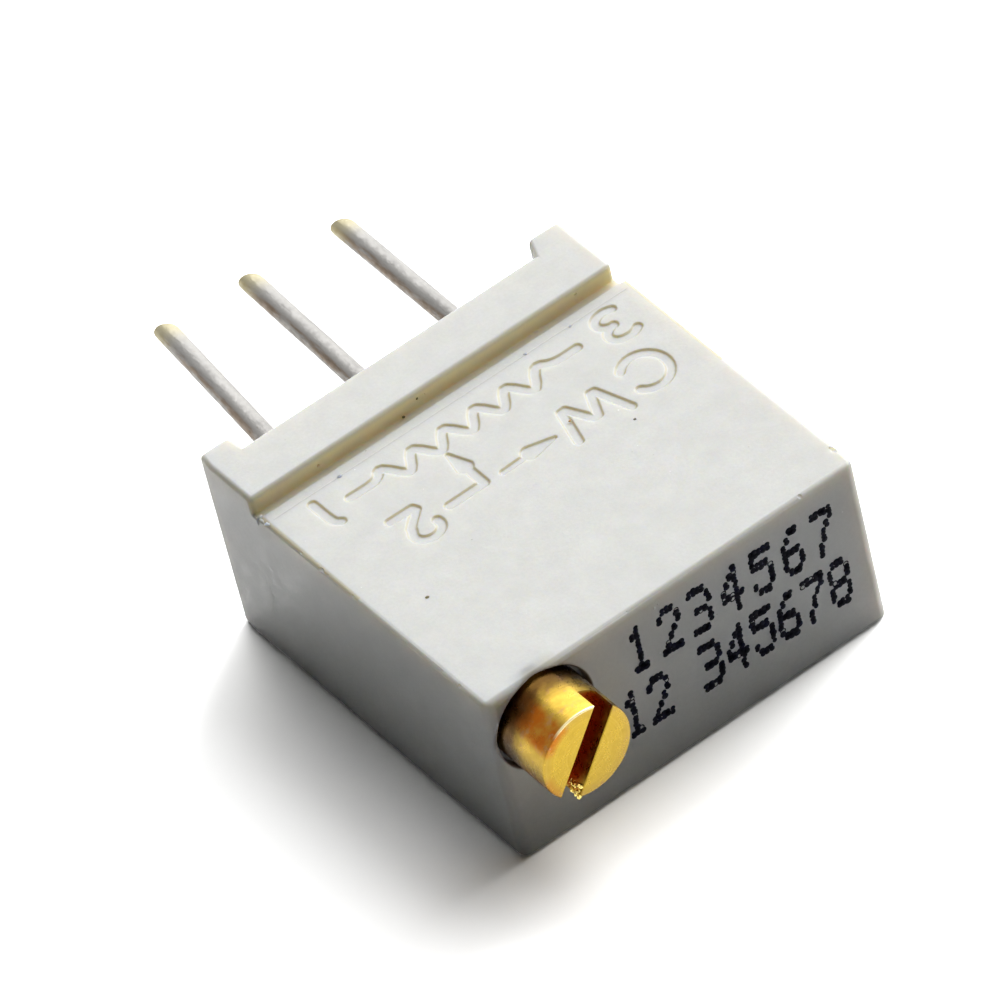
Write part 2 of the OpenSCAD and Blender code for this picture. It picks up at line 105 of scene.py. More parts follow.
class NodePen:
    """Writes the nodes of one material or world."""

    def __init__(self, owner: Material | bpy.types.World) -> None:
        """Clears the node tree.

        Args:
            owner: Material or world to write.
        """
        owner.use_nodes = True
        self.tree = owner.node_tree
        self.tree.nodes.clear()

    def add(self, kind: str, inputs: dict | None = None, **settings: object) -> bpy.types.Node:
        """Adds a node.

        Args:
            kind: Node type without the ShaderNode prefix.
            inputs: Socket name or index to a value, or to another node's output socket.
            settings: Attributes of the node.

        Returns:
            The new node.
        """
        made = self.tree.nodes.new("ShaderNode" + kind)
        for name, value in settings.items():
            setattr(made, name, value)
        for name, value in (inputs or {}).items():
            if isinstance(value, Socket):
                self.tree.links.new(value, made.inputs[name])
            else:
                made.inputs[name].default_value = value
        return made

    def maths(self, operation: str, first: object, second: object = 0.0, clamp: bool = False) -> Socket:
        """Gives the result of a Math node."""
        return self.add("Math", {0: first, 1: second}, operation=operation, use_clamp=clamp).outputs[0]

    def product(self, *factors: object) -> Socket:
        """Multiplies values and sockets in order."""
        return reduce(lambda first, second: self.maths("MULTIPLY", first, second), factors)

    def ramp(self, value: Socket, low: float, high: float, at_low: float = 0.0,
             at_high: float = 1.0) -> Socket:
        """Maps low to at_low and high to at_high, smoothly between them and level beyond."""
        inputs = {"Value": value, "From Min": low, "From Max": high, "To Min": at_low, "To Max": at_high}
        return self.add("MapRange", inputs, interpolation_type="SMOOTHSTEP").outputs[0]

    def band(self, value: Socket, middle: float, half: float, soft: float) -> Socket:
        """Masks values within half of the middle, falling to 0 over the soft width."""
        away = self.maths("ABSOLUTE", self.maths("SUBTRACT", value, middle))
        return self.ramp(away, half + soft, half)

    def blend(self, share: object, first: object, second: object) -> Socket:
        """Mixes two colours or colour sockets by the share of the second."""
        first, second = (value if isinstance(value, Socket) else (*value, 1.0) for value in (first, second))
        return self.add("Mix", {0: share, 6: first, 7: second}, data_type="RGBA").outputs[2]

    def tint(self, tone: object, colour: Colour, *shares: object) -> Socket:
        """Lays a colour over a tone by the product of the shares."""
        return self.blend(self.product(*shares), tone, colour)

    def millimetres(self, centre: Vector = Vector(), stretch: Triple = (1.0, 1.0, 1.0)) -> Socket:
        """Gives the object's own coordinates in millimetres.

        Args:
            centre: Point that becomes the origin.
            stretch: Factor on each axis.

        Returns:
            The coordinate socket.
        """
        own = self.add("TexCoord").outputs["Object"]
        shift = [-part * factor for part, factor in zip(centre, stretch)]
        scale = [factor / MM for factor in stretch]
        return self.add("Mapping", {"Vector": own, "Scale": scale, "Location": shift}).outputs[0]

    def split(self, where: Socket) -> tuple[Socket, ...]:
        """Gives the X, Y and Z of a vector socket."""
        return tuple(self.add("SeparateXYZ", {0: where}).outputs)

    def radius(self, x: Socket, z: Socket) -> Socket:
        """Gives the distance from an axis along Y."""
        across = self.add("CombineXYZ", {"X": x, "Z": z}).outputs[0]
        return self.add("VectorMath", {0: across}, operation="LENGTH").outputs["Value"]

    def grain(self, where: Socket, scale: float, detail: float = 3.0, rough: float = 0.5) -> Socket:
        """Gives a noise with scale features a millimetre and detail octaves."""
        inputs = {"Vector": where, "Scale": scale, "Detail": detail, "Roughness": rough}
        return self.add("TexNoise", inputs).outputs["Fac"]

    def wander(self, where: Socket, scale: float, detail: float, reach: float) -> Socket:
        """Gives a noise that strays to either side of zero."""
        return self.product(self.maths("SUBTRACT", self.grain(where, scale, detail), 0.5), reach)

    def specks(self, where: Socket, scale: float, share: float, size: float) -> Socket:
        """Scatters small round specks.

        Args:
            where: Coordinates in millimetres.
            scale: Cells per millimetre.
            share: Share of cells that hold a speck.
            size: Radius of a speck as a share of a cell.

        Returns:
            A mask that is 1 inside specks.
        """
        cells = self.add("TexVoronoi", {"Vector": where, "Scale": scale, "Randomness": 1.0})
        near = self.ramp(cells.outputs["Distance"], size, size * 0.6)
        pick = self.add("SeparateColor", {0: cells.outputs["Color"]}).outputs[0]
        return self.product(near, self.maths("LESS_THAN", pick, share))

    def relief(self, height: Socket, strength: float, depth: float) -> Socket:
        """Bends the normal by a bump of a depth in millimetres."""
        return self.add("Bump", {"Height": height, "Strength": strength, "Distance": depth * MM}).outputs[0]

    def surface(self, shader: Socket) -> None:
        """Connects the material's surface."""
        self.tree.links.new(shader, self.add("OutputMaterial").inputs["Surface"])

    def principled(self, inputs: dict) -> None:
        """Ends the material with a Principled surface."""
        self.surface(self.add("BsdfPrincipled", inputs).outputs[0])


def named_material(name: str) -> tuple[Material, NodePen]:
    """Starts a material and the pen for its nodes."""
    made = bpy.data.materials.new(name)
    return made, NodePen(made)


def scaled(colour: Colour, factor: float) -> Colour:
    """Makes a colour lighter or darker."""
    return tuple(min(1.0, channel * factor) for channel in colour)


@dataclass(frozen=True)
class MouldedPlastic:
    """Light grey thermoset: flow mottling, fine grain, specks, painted warm shade at the collar's foot and on
    the walls of the sunk marks, and painted shade in and above the screw's recess.
    """

    front_y: float
    collar_y: float
    face_z: float
    recess_r: float
    name: str = "moulded_grey"
    colour: Colour = (0.725, 0.730, 0.700)
    # painted warm shade: a warm tint standing in for the glow of the shaded channel at the collar's foot
    painted_warm_shade: Colour = (0.99, 0.88, 0.53)
    # painted olive shade on the walls of the sunk marks
    mark_wall_shade: Colour = (0.63, 0.58, 0.41)
    # painted shade: dark brown in the screw's recess, where the gap round the head lies in shadow
    recess_shade: Colour = (0.10, 0.055, 0.03)
    # painted shade on the rounded front edge of the marked face above the recess
    shade_above_recess: Colour = (0.60, 0.50, 0.34)
    dark_speck: Colour = (0.30, 0.27, 0.20)
    dusty_speck: Colour = (0.52, 0.50, 0.44)
    light_speck: Colour = (0.95, 0.95, 0.94)
    recess_x: float = -3.495
    recess_z: float = 3.30
    roughness: float = 0.42
    grain_depth: float = 0.005
    depth_share: float = 0.75
    depth_mm: float = 0.55
    depth_tint: Colour = (1.0, 0.75, 0.36)

    def make(self) -> Material:
        """Builds the material.

        Returns:
            The finished material.
        """
        material, pen = named_material(self.name)
        place = pen.millimetres()
        mottle = pen.ramp(pen.grain(place, 0.5, 5.0, 0.6), 0.35, 0.68)
        tone = pen.blend(mottle, scaled(self.colour, 0.965), scaled(self.colour, 1.01))
        fine = pen.ramp(pen.grain(place, 14.0, 4.0, 0.65), 0.3, 0.72)
        tone = pen.tint(tone, scaled(self.colour, 0.90), fine, 0.55)
        cloud = pen.ramp(pen.grain(place, 2.1, 3.0, 0.55), 0.52, 0.72)
        tone = pen.tint(tone, scaled(self.colour, 1.05), cloud, 0.25)
        tone = pen.tint(tone, self.dark_speck, pen.specks(place, 2.4, 0.05, 0.05), 0.6)
        tone = pen.tint(tone, self.dusty_speck, pen.specks(place, 4.0, 0.05, 0.09), 0.5)
        tone = pen.tint(tone, self.light_speck, pen.specks(place, 3.1, 0.13, 0.07), 0.8)
        tone = self.add_recess_shade(pen, place, self.add_painted_shade(pen, place, tone))
        rough = pen.ramp(pen.grain(place, 3.0), 0.3, 0.7, self.roughness - 0.05, self.roughness + 0.08)
        flow = pen.grain(pen.millimetres(stretch=(0.25, 9.0, 1.0)), 1.0, 2.0)
        on_collar = pen.ramp(pen.split(place)[1], self.collar_y - 0.1, self.collar_y + 0.2)
        bumps = pen.maths("ADD", pen.product(pen.grain(place, 26.0, 3.0, 0.6), 0.6),
                          pen.product(pen.grain(place, 5.0, 2.0), 1.4))
        bumps = pen.maths("ADD", bumps, pen.product(flow, on_collar, 1.2))
        pen.principled({"Base Color": tone, "Roughness": rough, "IOR": 1.5, "Specular IOR Level": 0.5,
                        "Subsurface Weight": self.depth_share, "Subsurface Radius": self.depth_tint,
                        "Subsurface Scale": self.depth_mm * MM,
                        "Normal": pen.relief(bumps, 0.6, self.grain_depth)})
        return material

    def add_painted_shade(self, pen: NodePen, place: Socket, tone: Socket) -> Socket:
        """Paints warm shade on the foot of the collar's wall and the channel before it, and olive shade on
        the walls of the sunk marks.

        Args:
            pen: Pen of the material.
            place: Coordinates in millimetres.
            tone: Tone to add to.

        Returns:
            The tinted tone.
        """
        _, along, height = pen.split(place)
        near = pen.band(along, self.collar_y - 0.03, 0.06, 0.12)
        rise = pen.ramp(height, self.face_z + 0.42, self.face_z + 0.20)
        low_end = pen.ramp(height, self.face_z - 0.12, self.face_z - 0.05)
        patchy = pen.ramp(pen.grain(place, 1.6, 3.0, 0.6), 0.25, 0.75, 0.75, 1.0)
        share = pen.product(pen.product(near, rise), pen.product(low_end, patchy))
        # painted warm shade on the foot of the collar's wall and the channel floor
        tone = pen.tint(tone, self.painted_warm_shade, share, 0.85)
        # painted shade on the walls of the sunk marks, found by height just under the marked face
        walls = pen.band(height, self.face_z - 0.019, 0.013, 0.006)
        marked = pen.band(along, self.front_y + 6.17, 1.72, 0.02)
        return pen.tint(tone, self.mark_wall_shade, walls, marked, 0.8)

    def add_recess_shade(self, pen: NodePen, place: Socket, tone: Socket) -> Socket:
        """Paints shade on the wall and mouth of the screw's recess, and on the rounded edge of the face above
        it.

        Args:
            pen: Pen of the material.
            place: Coordinates in millimetres.
            tone: Tone to add to.

        Returns:
            The darkened tone.
        """
        x, along, z = pen.split(place)
        reach = pen.radius(pen.maths("SUBTRACT", x, self.recess_x), pen.maths("SUBTRACT", z, self.recess_z))
        ring = pen.ramp(reach, self.recess_r + 0.06, self.recess_r + 0.01)
        front = pen.ramp(along, self.front_y + 0.40, self.front_y + 0.20)
        # painted shade on the wall and mouth of the recess
        tone = pen.tint(tone, self.recess_shade, ring, front, 0.9)
        # painted shade on the rounded edge above the recess
        beside = pen.band(x, self.recess_x + 0.1, 0.2, 0.5)
        above = pen.product(pen.ramp(along, self.front_y + 0.45, self.front_y + 0.10),
                            pen.ramp(z, self.face_z - 0.25, self.face_z - 0.1))
        return pen.tint(tone, self.shade_above_recess, pen.product(beside, above), 0.6)


@dataclass(frozen=True)
class TurnedBrass:
    """Brass with lathe rings about its own axis, dull patches, painted dark reflection bands along the head,
    painted shade in the slot and towards the housing, and a painted highlight on the end face's rim.
    """

    axis: Vector
    name: str = "turned_brass"
    colour: Colour = (0.325, 0.215, 0.021)
    bright: Colour = (0.66, 0.48, 0.12)
    # painted highlight: pale colour on the lit side of the end face's rim
    rim: Colour = (0.74, 0.64, 0.36)
    # painted shade: near-black on the head's side towards the housing
    shade_by_housing: Colour = (0.035, 0.014, 0.004)
    # painted shade: dark red-brown on the floor and walls of the slot
    slot_shade: Colour = (0.30, 0.066, 0.006)
    # painted reflection: orange-brown bands standing in for dark surroundings mirrored in the head's side
    dark_reflection: Colour = (0.30, 0.075, 0.005)
    dull: Colour = (0.28, 0.155, 0.070)
    weathered: Colour = (0.30, 0.195, 0.038)
    roughness: float = 0.30

    def make(self) -> Material:
        """Builds the material.

        Returns:
            The finished material.
        """
        material, pen = named_material(self.name)
        place = pen.millimetres(self.axis)
        x, along, z = pen.split(place)
        radius = pen.radius(x, z)
        turn = pen.maths("ARCTAN2", z, x)
        side = pen.ramp(radius, 0.80, 1.06)
        rings = pen.grain(pen.add("CombineXYZ", {"X": radius, "Y": along}).outputs[0], 22.0, 3.0, 0.7)
        patches = pen.ramp(pen.grain(place, 1.4, 4.0, 0.6), 0.45, 0.75)
        blots = pen.ramp(pen.grain(place, 4.5, 3.0, 0.6), 0.56, 0.70)
        tone = pen.tint(self.colour, scaled(self.colour, 0.72), patches, 0.30)
        tone = pen.tint(tone, self.bright, pen.ramp(rings, 0.35, 0.7), 0.14)
        tone = pen.tint(tone, self.weathered, side, 0.5)
        # painted dark reflection bands along the head's side
        tone = pen.tint(tone, self.dark_reflection, side, self.reflection_bands(pen, turn, place))
        tone = pen.tint(tone, self.dull, blots, side, 0.55)
        # painted shade inside the slot
        slot = pen.product(pen.ramp(radius, 1.085, 1.0), pen.ramp(along, 0.02, 0.30))
        tone = pen.tint(tone, self.slot_shade, slot, 0.96)
        # painted shade on the head's side, darker towards the housing's recess
        housing_shade = pen.ramp(pen.maths("ADD", along, pen.wander(place, 2.2, 3.0, 0.5)), 0.62, 1.22)
        tone = pen.tint(tone, self.shade_by_housing, housing_shade, side, 0.92)
        # painted highlight on the end face's rim, on the lit side only
        edge = pen.product(pen.ramp(radius, 1.05, 1.075), pen.ramp(along, 0.06, 0.03))
        lit = pen.band(turn, math.radians(92), math.radians(20), math.radians(18))
        tone = pen.tint(tone, self.rim, edge, lit)
        rough = pen.ramp(pen.grain(place, 6.0), 0.3, 0.75, self.roughness - 0.06, self.roughness + 0.14)
        scratches = pen.grain(pen.millimetres(self.axis, (2.0, 0.6, 14.0)), 1.0)
        height = pen.maths("ADD", rings, pen.product(pen.grain(place, 9.0), 0.8))
        height = pen.maths("ADD", height, pen.product(scratches, 0.6))
        pen.principled({"Base Color": tone, "Roughness": rough, "Metallic": 1.0,
                        "Normal": pen.relief(height, 0.35, 0.008)})
        return material

    @staticmethod
    def reflection_bands(pen: NodePen, turn: Socket, place: Socket) -> Socket:
        """Masks the painted dark reflection bands along two sides of the head.

        Args:
            pen: Pen of the material.
            turn: Angle about the axis.
            place: Coordinates from the axis.

        Returns:
            The mask.
        """
        turn = pen.maths("ADD", turn, pen.wander(place, 1.3, 2.0, 0.25))
        main = pen.band(turn, math.radians(128), math.radians(13), math.radians(12))
        second = pen.band(turn, math.radians(-158), math.radians(6), math.radians(22))
        both = pen.maths("ADD", pen.product(main, 0.95), pen.product(second, 0.45))
        broken = pen.ramp(pen.grain(place, 2.6, 3.0, 0.6), 0.25, 0.6, 0.45, 1.0)
        return pen.maths("MULTIPLY", both, broken, True)


@dataclass(frozen=True)
class TinnedWire:
    """Solder-dipped wire: dull pale silver with a brown streak along one side, partly flux and partly painted
    shade on the wire's shaded side.
    """

    name: str = "tinned_wire"
    colour: Colour = (0.37, 0.36, 0.345)
    # brown streak colour: partly flux, partly painted shade on the wire's shaded side
    flux_and_shade: Colour = (0.21, 0.145, 0.09)
    tip: Colour = (0.60, 0.52, 0.24)
    pit: Colour = (0.33, 0.29, 0.24)
    stain: Colour = (0.62, 0.52, 0.12)
    roughness: float = 0.48

    def make(self) -> Material:
        """Builds the material.

        Returns:
            The finished material.
        """
        material, pen = named_material(self.name)
        place = pen.millimetres()
        drawn = pen.millimetres(stretch=(5.0, 0.8, 5.0))
        turn, along, _ = pen.split(pen.add("UVMap", uv_map="around").outputs[0])
        main = pen.band(pen.maths("ADD", turn, pen.wander(drawn, 0.5, 2.0, 0.10)), 0.43, 0.035, 0.06)
        broken = pen.ramp(pen.grain(drawn, 1.2, 4.0, 0.65), 0.36, 0.58, 0.15, 1.0)
        streaks = pen.ramp(pen.grain(drawn, 1.0, 4.0, 0.6), 0.45, 0.7)
        tone = pen.tint(self.colour, scaled(self.colour, 0.66), streaks, 0.55)
        # streak on the wire's shaded side: partly flux, partly painted shade
        tone = pen.tint(tone, self.flux_and_shade, main, broken, 0.92)
        tone = pen.tint(tone, self.tip, pen.ramp(along, 0.72, 0.80), 0.55)
        tone = pen.tint(tone, self.pit, pen.specks(place, 5.0, 0.16, 0.16), 0.45)
        tone = pen.tint(tone, self.stain, pen.specks(place, 1.1, 0.08, 0.10), 0.6)
        rough = pen.ramp(pen.grain(place, 8.0), 0.3, 0.75, self.roughness - 0.1, self.roughness + 0.16)
        height = pen.maths("ADD", pen.grain(place, 12.0, 3.0, 0.6), pen.product(streaks, 0.5))
        pen.principled({"Base Color": tone, "Roughness": rough, "Metallic": 0.4,
                        "Normal": pen.relief(height, 0.6, 0.018)})
        return material


@dataclass(frozen=True)
class GrainyFinish:
    """Plain material with tone variation and fine grain, for resin, dirt and inner pieces."""

    name: str
    colour: Colour
    variation: float = 0.12
    scale: float = 8.0
    roughness: float = 0.5
    metallic: float = 0.0
    bump: float = 0.2
    stretch: Triple = (1.0, 1.0, 1.0)

    def make(self) -> Material:
        """Builds the material.

        Returns:
            The finished material.
        """
        material, pen = named_material(self.name)
        place = pen.millimetres(stretch=self.stretch)
        shade = pen.ramp(pen.grain(place, self.scale, 4.0, 0.6), 0.3, 0.7)
        tone = pen.blend(shade, *(scaled(self.colour, 1 + self.variation * way) for way in (-1, 1)))
        low, high = max(0.05, self.roughness - 0.08), min(1.0, self.roughness + 0.08)
        rough = pen.ramp(pen.grain(place, self.scale * 0.6), 0.3, 0.7, low, high)
        height = pen.grain(place, self.scale * 2.5)
        pen.principled({"Base Color": tone, "Roughness": rough, "Metallic": self.metallic,
                        "Normal": pen.relief(height, self.bump, 0.01)})
        return material


@dataclass(frozen=True)
class PrintingInk:
    """Jet-printed black ink: dense drops that thin to a blue edge on the plastic."""

    name: str = "printing_ink"
    colour: Colour = (0.003, 0.003, 0.006)
    thin: Colour = (0.012, 0.014, 0.045)

    def make(self) -> Material:
        """Builds the material.

        Returns:
            The finished material.
        """
        material, pen = named_material(self.name)
        place = pen.millimetres()
        patch = pen.ramp(pen.grain(place, 5.0, 3.0, 0.6), 0.5, 0.75)
        tone = pen.tint(self.colour, self.thin, patch, 0.7)
        rough = pen.ramp(pen.grain(place, 9.0, 2.0), 0.3, 0.7, 0.5, 0.7)
        pen.principled({"Base Color": tone, "Roughness": rough, "Specular IOR Level": 0.03,
                        "Normal": pen.relief(pen.grain(place, 18.0), 0.2, 0.004)})
        return material


class InnerFinish(Enum):
    """Finishes of the pieces inside the housing, each with the frame nodes that take it."""

    SEAL_RUBBER = (GrainyFinish("seal_rubber", (0.022, 0.022, 0.024), 0.25, 9.0, 0.6, 0.0, 0.25),
                   ("seal_ring",))
    STAMPED_STEEL = (GrainyFinish("stamped_steel", (0.62, 0.63, 0.64), 0.10, 5.0, 0.32, 1.0, 0.25,
                                  (1.0, 1.0, 7.0)), ("screw_retainer",))
    ROTOR_PLASTIC = (GrainyFinish("rotor_plastic", (0.60, 0.59, 0.53), 0.06, 6.0, 0.45), ("rotor",))
    SPRING_METAL = (GrainyFinish("spring_metal", (0.86, 0.66, 0.34), 0.08, 6.0, 0.25, 1.0, 0.2,
                                 (5.0, 1.0, 1.0)), ("wiper",))
    ALUMINA = (GrainyFinish("fired_alumina", (0.82, 0.81, 0.77), 0.04, 14.0, 0.6), ("substrate",))
    CERMET_FILM = (GrainyFinish("cermet_film", (0.045, 0.042, 0.04), 0.35, 10.0, 0.35),
                   ("resistive_track",))
    LEAD_FILM = (GrainyFinish("lead_film", (0.58, 0.56, 0.50), 0.12, 10.0, 0.4, 0.7),
                 ("end_lead_1", "end_lead_3", "collector"))
    SOLDER = (GrainyFinish("solder_fillet", (0.66, 0.66, 0.65), 0.12, 6.0, 0.3, 0.9, 0.35),
              ("solder_1", "solder_2", "solder_3"))

    def dress(self) -> None:
        """Gives the finish to its nodes."""
        finish, nodes = self.value
        material = finish.make()
        for node in nodes:
            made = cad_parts[node]
            made.data.materials.clear()
            made.data.materials.append(material)
            LOG.info("%s: dressed as %s", node, finish.name)


# ---------------------------------------------------------------- mesh work


class Cut(Enum):
    """Ways of combining two solids."""

    AWAY = "DIFFERENCE"
    ONTO = "UNION"


@contextmanager
def editing(piece: Piece) -> Iterator[Shape]:
    """Opens a piece's mesh for changes and writes them back.

    Args:
        piece: Piece to change.

    Yields:
        The mesh as a bmesh.
    """
    shape = bmesh.new()
    shape.from_mesh(piece.data)
    yield shape
    shape.to_mesh(piece.data)
    shape.free()


def object_from(shape: Shape, name: str) -> Piece:
    """Turns a bmesh into an object that is linked to the scene, and frees the bmesh.

    Args:
        shape: Finished bmesh in millimetres.
        name: Name of the object.

    Returns:
        The new object.
    """
    data = bpy.data.meshes.new(name)
    shape.to_mesh(data)
    shape.free()
    made = bpy.data.objects.new(name, data)
    bpy.context.scene.collection.objects.link(made)
    return made


def settle(piece: Piece) -> None:
    """Applies a piece's modifiers to its mesh.

    Args:
        piece: Piece whose modifiers are used up.
    """
    depsgraph = bpy.context.evaluated_depsgraph_get()
    result = bpy.data.meshes.new_from_object(piece.evaluated_get(depsgraph))
    piece.modifiers.clear()
    old, piece.data = piece.data, result
    bpy.data.meshes.remove(old)


def combine(body: Piece, tool: Piece, how: Cut) -> None:
    """Cuts a tool solid away from a body, or joins it on, and removes the tool.

    Args:
        body: Solid that is changed.
        tool: Solid that is used up.
        how: Whether the tool is cut away or joined on.
    """
    step = body.modifiers.new("combine", "BOOLEAN")
    step.operation = how.value
    step.object = tool
    step.solver = "EXACT"
    settle(body)
    spent = tool.data
    bpy.data.objects.remove(tool)
    bpy.data.meshes.remove(spent)


def mend(shape: Shape) -> None:
    """Takes out points that only two edges meet at and closes pinholes, which joining can leave.

    Args:
        shape: Bmesh to clean.
    """
    bmesh.ops.dissolve_verts(shape, verts=[vert for vert in shape.verts if len(vert.link_edges) == 2])
    rims = [edge for edge in shape.edges if edge.is_boundary]
    filled = bmesh.ops.holes_fill(shape, edges=rims, sides=8)["faces"] if rims else []
    for face in filled:
        corner = face.loops[0]
        if corner.link_loop_radial_next.vert == corner.vert:
            face.normal_flip()


def block(low: Sequence[float], high: Sequence[float]) -> Shape:
    """Makes a plain block.

    Args:
        low: Lowest corner.
        high: Highest corner.

    Returns:
        The block as a bmesh.
    """
    shape = bmesh.new()
    bmesh.ops.create_cube(shape, size=1.0)
    bmesh.ops.scale(shape, vec=Vector(high) - Vector(low), verts=shape.verts)
    bmesh.ops.translate(shape, vec=(Vector(low) + Vector(high)) / 2, verts=shape.verts)
    return shape


def spun(outline: Sequence[Point], centre: Vector, steps: int) -> Shape:
    """Turns an outline about an axis that runs along Y.

    Args:
        outline: Points of radius and place along Y, from one pole to the other.
        centre: A point on the axis; its Y is not used.
        steps: Number of steps of the full turn.

    Returns:
        The closed turned solid.
    """
    shape = bmesh.new()
    points = [shape.verts.new((centre.x + radius, along, centre.z)) for radius, along in outline]
    for ends in zip(points, points[1:]):
        shape.edges.new(ends)
    bmesh.ops.spin(shape, geom=shape.verts[:] + shape.edges[:], cent=(centre.x, 0, centre.z), axis=(0, 1, 0),
                   dvec=(0, 0, 0), angle=math.tau, steps=steps, use_merge=True, use_duplicate=False)
    bmesh.ops.remove_doubles(shape, verts=shape.verts, dist=POLE)
    bmesh.ops.recalc_face_normals(shape, faces=shape.faces)
    return shape


def eased(radius: float, along: float, ease: float, degrees: Sequence[float]) -> list[Point]:
    """Gives the rounded corner of an outline, which widens by the ease when it is negative."""
    return [(radius - ease * (1 - math.sin(a)), along + abs(ease) * (1 - math.cos(a)))
            for a in map(math.radians, degrees)]


def append_shape(onto: Shape, extra: Shape) -> None:
    """Adds one bmesh to another and frees the one that was added.

    Args:
        onto: Bmesh that grows.
        extra: Bmesh that is used up.
    """
    carrier = bpy.data.meshes.new("carrier")
    extra.to_mesh(carrier)
    extra.free()
    onto.from_mesh(carrier)
    bpy.data.meshes.remove(carrier)


def bisect(shape: Shape, axis: int, level: float, faces: Sequence[Face] | None = None) -> None:
    """Splits a bmesh along a plane across an axis.

    Args:
        shape: Bmesh to change.
        axis: 0, 1 or 2 for X, Y or Z.
        level: Place of the plane on the axis.
        faces: Faces to split, or None for all.
    """
    parts = shape.verts[:] + shape.edges[:] + shape.faces[:]
    if faces is not None:
        parts = list({part for face in faces for part in (face, *face.edges, *face.verts)})
    normal = Vector([float(index == axis) for index in range(3)])
    bmesh.ops.bisect_plane(shape, geom=parts, plane_co=normal * level, plane_no=normal, dist=WELD)


def lump(rolls: random.Random, detail: int, radius: float, spans: Sequence[Point], uneven: Point) -> Shape:
    """Makes a small uneven lump about the origin.

    Args:
        rolls: Source of the differences.
        detail: Subdivisions of the ball that it starts from.
        radius: Radius of the ball.
        spans: Least and most stretch on each axis.
        uneven: Least and most factor on each point.

    Returns:
        The lump as a bmesh.
    """
    shape = bmesh.new()
    bmesh.ops.create_icosphere(shape, subdivisions=detail, radius=radius)
    bmesh.ops.scale(shape, vec=[rolls.uniform(*span) for span in spans], verts=shape.verts)
    for corner in shape.verts:
        corner.co *= rolls.uniform(*uneven)
    return shape


def lies_at(edge: Edge, x: float | None = None, y: float | None = None, z: float | None = None) -> bool:
    """Says whether both ends of an edge lie at the coordinates that are given."""
    wants = [(axis, want) for axis, want in enumerate((x, y, z)) if want is not None]
    return all(abs(end.co[axis] - want) < NEAR for end in edge.verts for axis, want in wants)


def runs_along(edge: Edge, axis: int) -> bool:
    """Says whether an edge runs mainly along an axis."""
    way = (edge.verts[1].co - edge.verts[0].co).normalized()
    return abs(way[axis]) > MAIN_WAY


def rounded_solid(shape: Shape, name: str, rules: Sequence[tuple[float, EdgeTest]]) -> Piece:
    """Rounds the edges of a solid, each with the radius of the first rule that it meets.

    Args:
        shape: Sharp-edged solid, which is freed.
        name: Name of the object.
        rules: Radius and test of each kind of edge.

    Returns:
        The rounded solid.
    """
    widest = max(radius for radius, _ in rules)
    weights = shape.edges.layers.float.new("bevel_weight_edge")
    for edge in shape.edges:
        if edge.calc_face_angle(0.0) > CREASE:
            edge[weights] = next((radius / widest for radius, test in rules if test(edge)), 0.0)
    piece = object_from(shape, name)
    step = piece.modifiers.new("rounds", "BEVEL")
    step.limit_method = "WEIGHT"
    step.width = widest
    step.segments = ROUND_STEPS
    step.profile = 0.5
    step.use_clamp_overlap = False
    settle(piece)
    return piece


def finish_piece(piece: Piece, material: Material, body: str, crease_degrees: float,
                 weigh: bool = True) -> None:
    """Brings a piece to metres, shades it, dresses it and puts it on its body.

    Args:
        piece: Piece whose mesh is in millimetres.
        material: Its material.
        body: Frame body that it rides on.
        crease_degrees: Edges sharper than this stay hard.
        weigh: Whether large flat faces keep flat shading beside their rounds.
    """
    piece.data.transform(Matrix.Scale(MM, 4))
    piece.data.shade_smooth()
    piece.data.set_sharp_from_angle(angle=math.radians(crease_degrees))
    piece.data.materials.clear()
    piece.data.materials.append(material)
    if weigh:
        step = piece.modifiers.new("weigh", "WEIGHTED_NORMAL")
        step.keep_sharp = True
        step.weight = 50
    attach(piece, body)
    LOG.info("%s: %d faces on %s", piece.name, len(piece.data.polygons), body)


def points_of(data: bpy.types.Mesh) -> np.ndarray:
    """Gives a mesh's points as rows of X, Y and Z.

    Args:
        data: Mesh to read.

    Returns:
        The points, in the mesh's own unit.
    """
    places = np.empty(len(data.vertices) * 3)
    data.vertices.foreach_get("co", places)
    return places.reshape(-1, 3)


# ---------------------------------------------------------------- sunk marks


@dataclass(frozen=True)
class Groove:
    """One sunk stroke: a path on the marked face, its width at both ends, and how round it bends."""

    path: tuple[Point, ...]
    widths: Point = (0.21, 0.21)
    rounding: int = 2
    bend_share: float = 0.25
    bend_reach: float = 0.14

    def smoothed(self) -> list[Vector]:
        """Gives the path with its bends rounded off.

        Returns:
            Points in order, the first and last as written.
        """
        points = [Vector(point) for point in self.path]
        for _ in range(self.rounding):
            cut = [points[0]]
            for first, second in zip(points, points[1:]):
                reach = min(self.bend_share, self.bend_reach / max(WELD, (second - first).length))
                cut += [first.lerp(second, reach), first.lerp(second, 1 - reach)]
            points = cut + [points[-1]]
        return points


def arc(centre: Point, radii: Point, start: float, end: float, count: int = 12) -> tuple[Point, ...]:
    """Gives points along an arc of an ellipse, from one angle in degrees to another."""
    angles = [math.radians(start + (end - start) * i / (count - 1)) for i in range(count)]
    return tuple((centre[0] + radii[0] * math.cos(a), centre[1] + radii[1] * math.sin(a)) for a in angles)


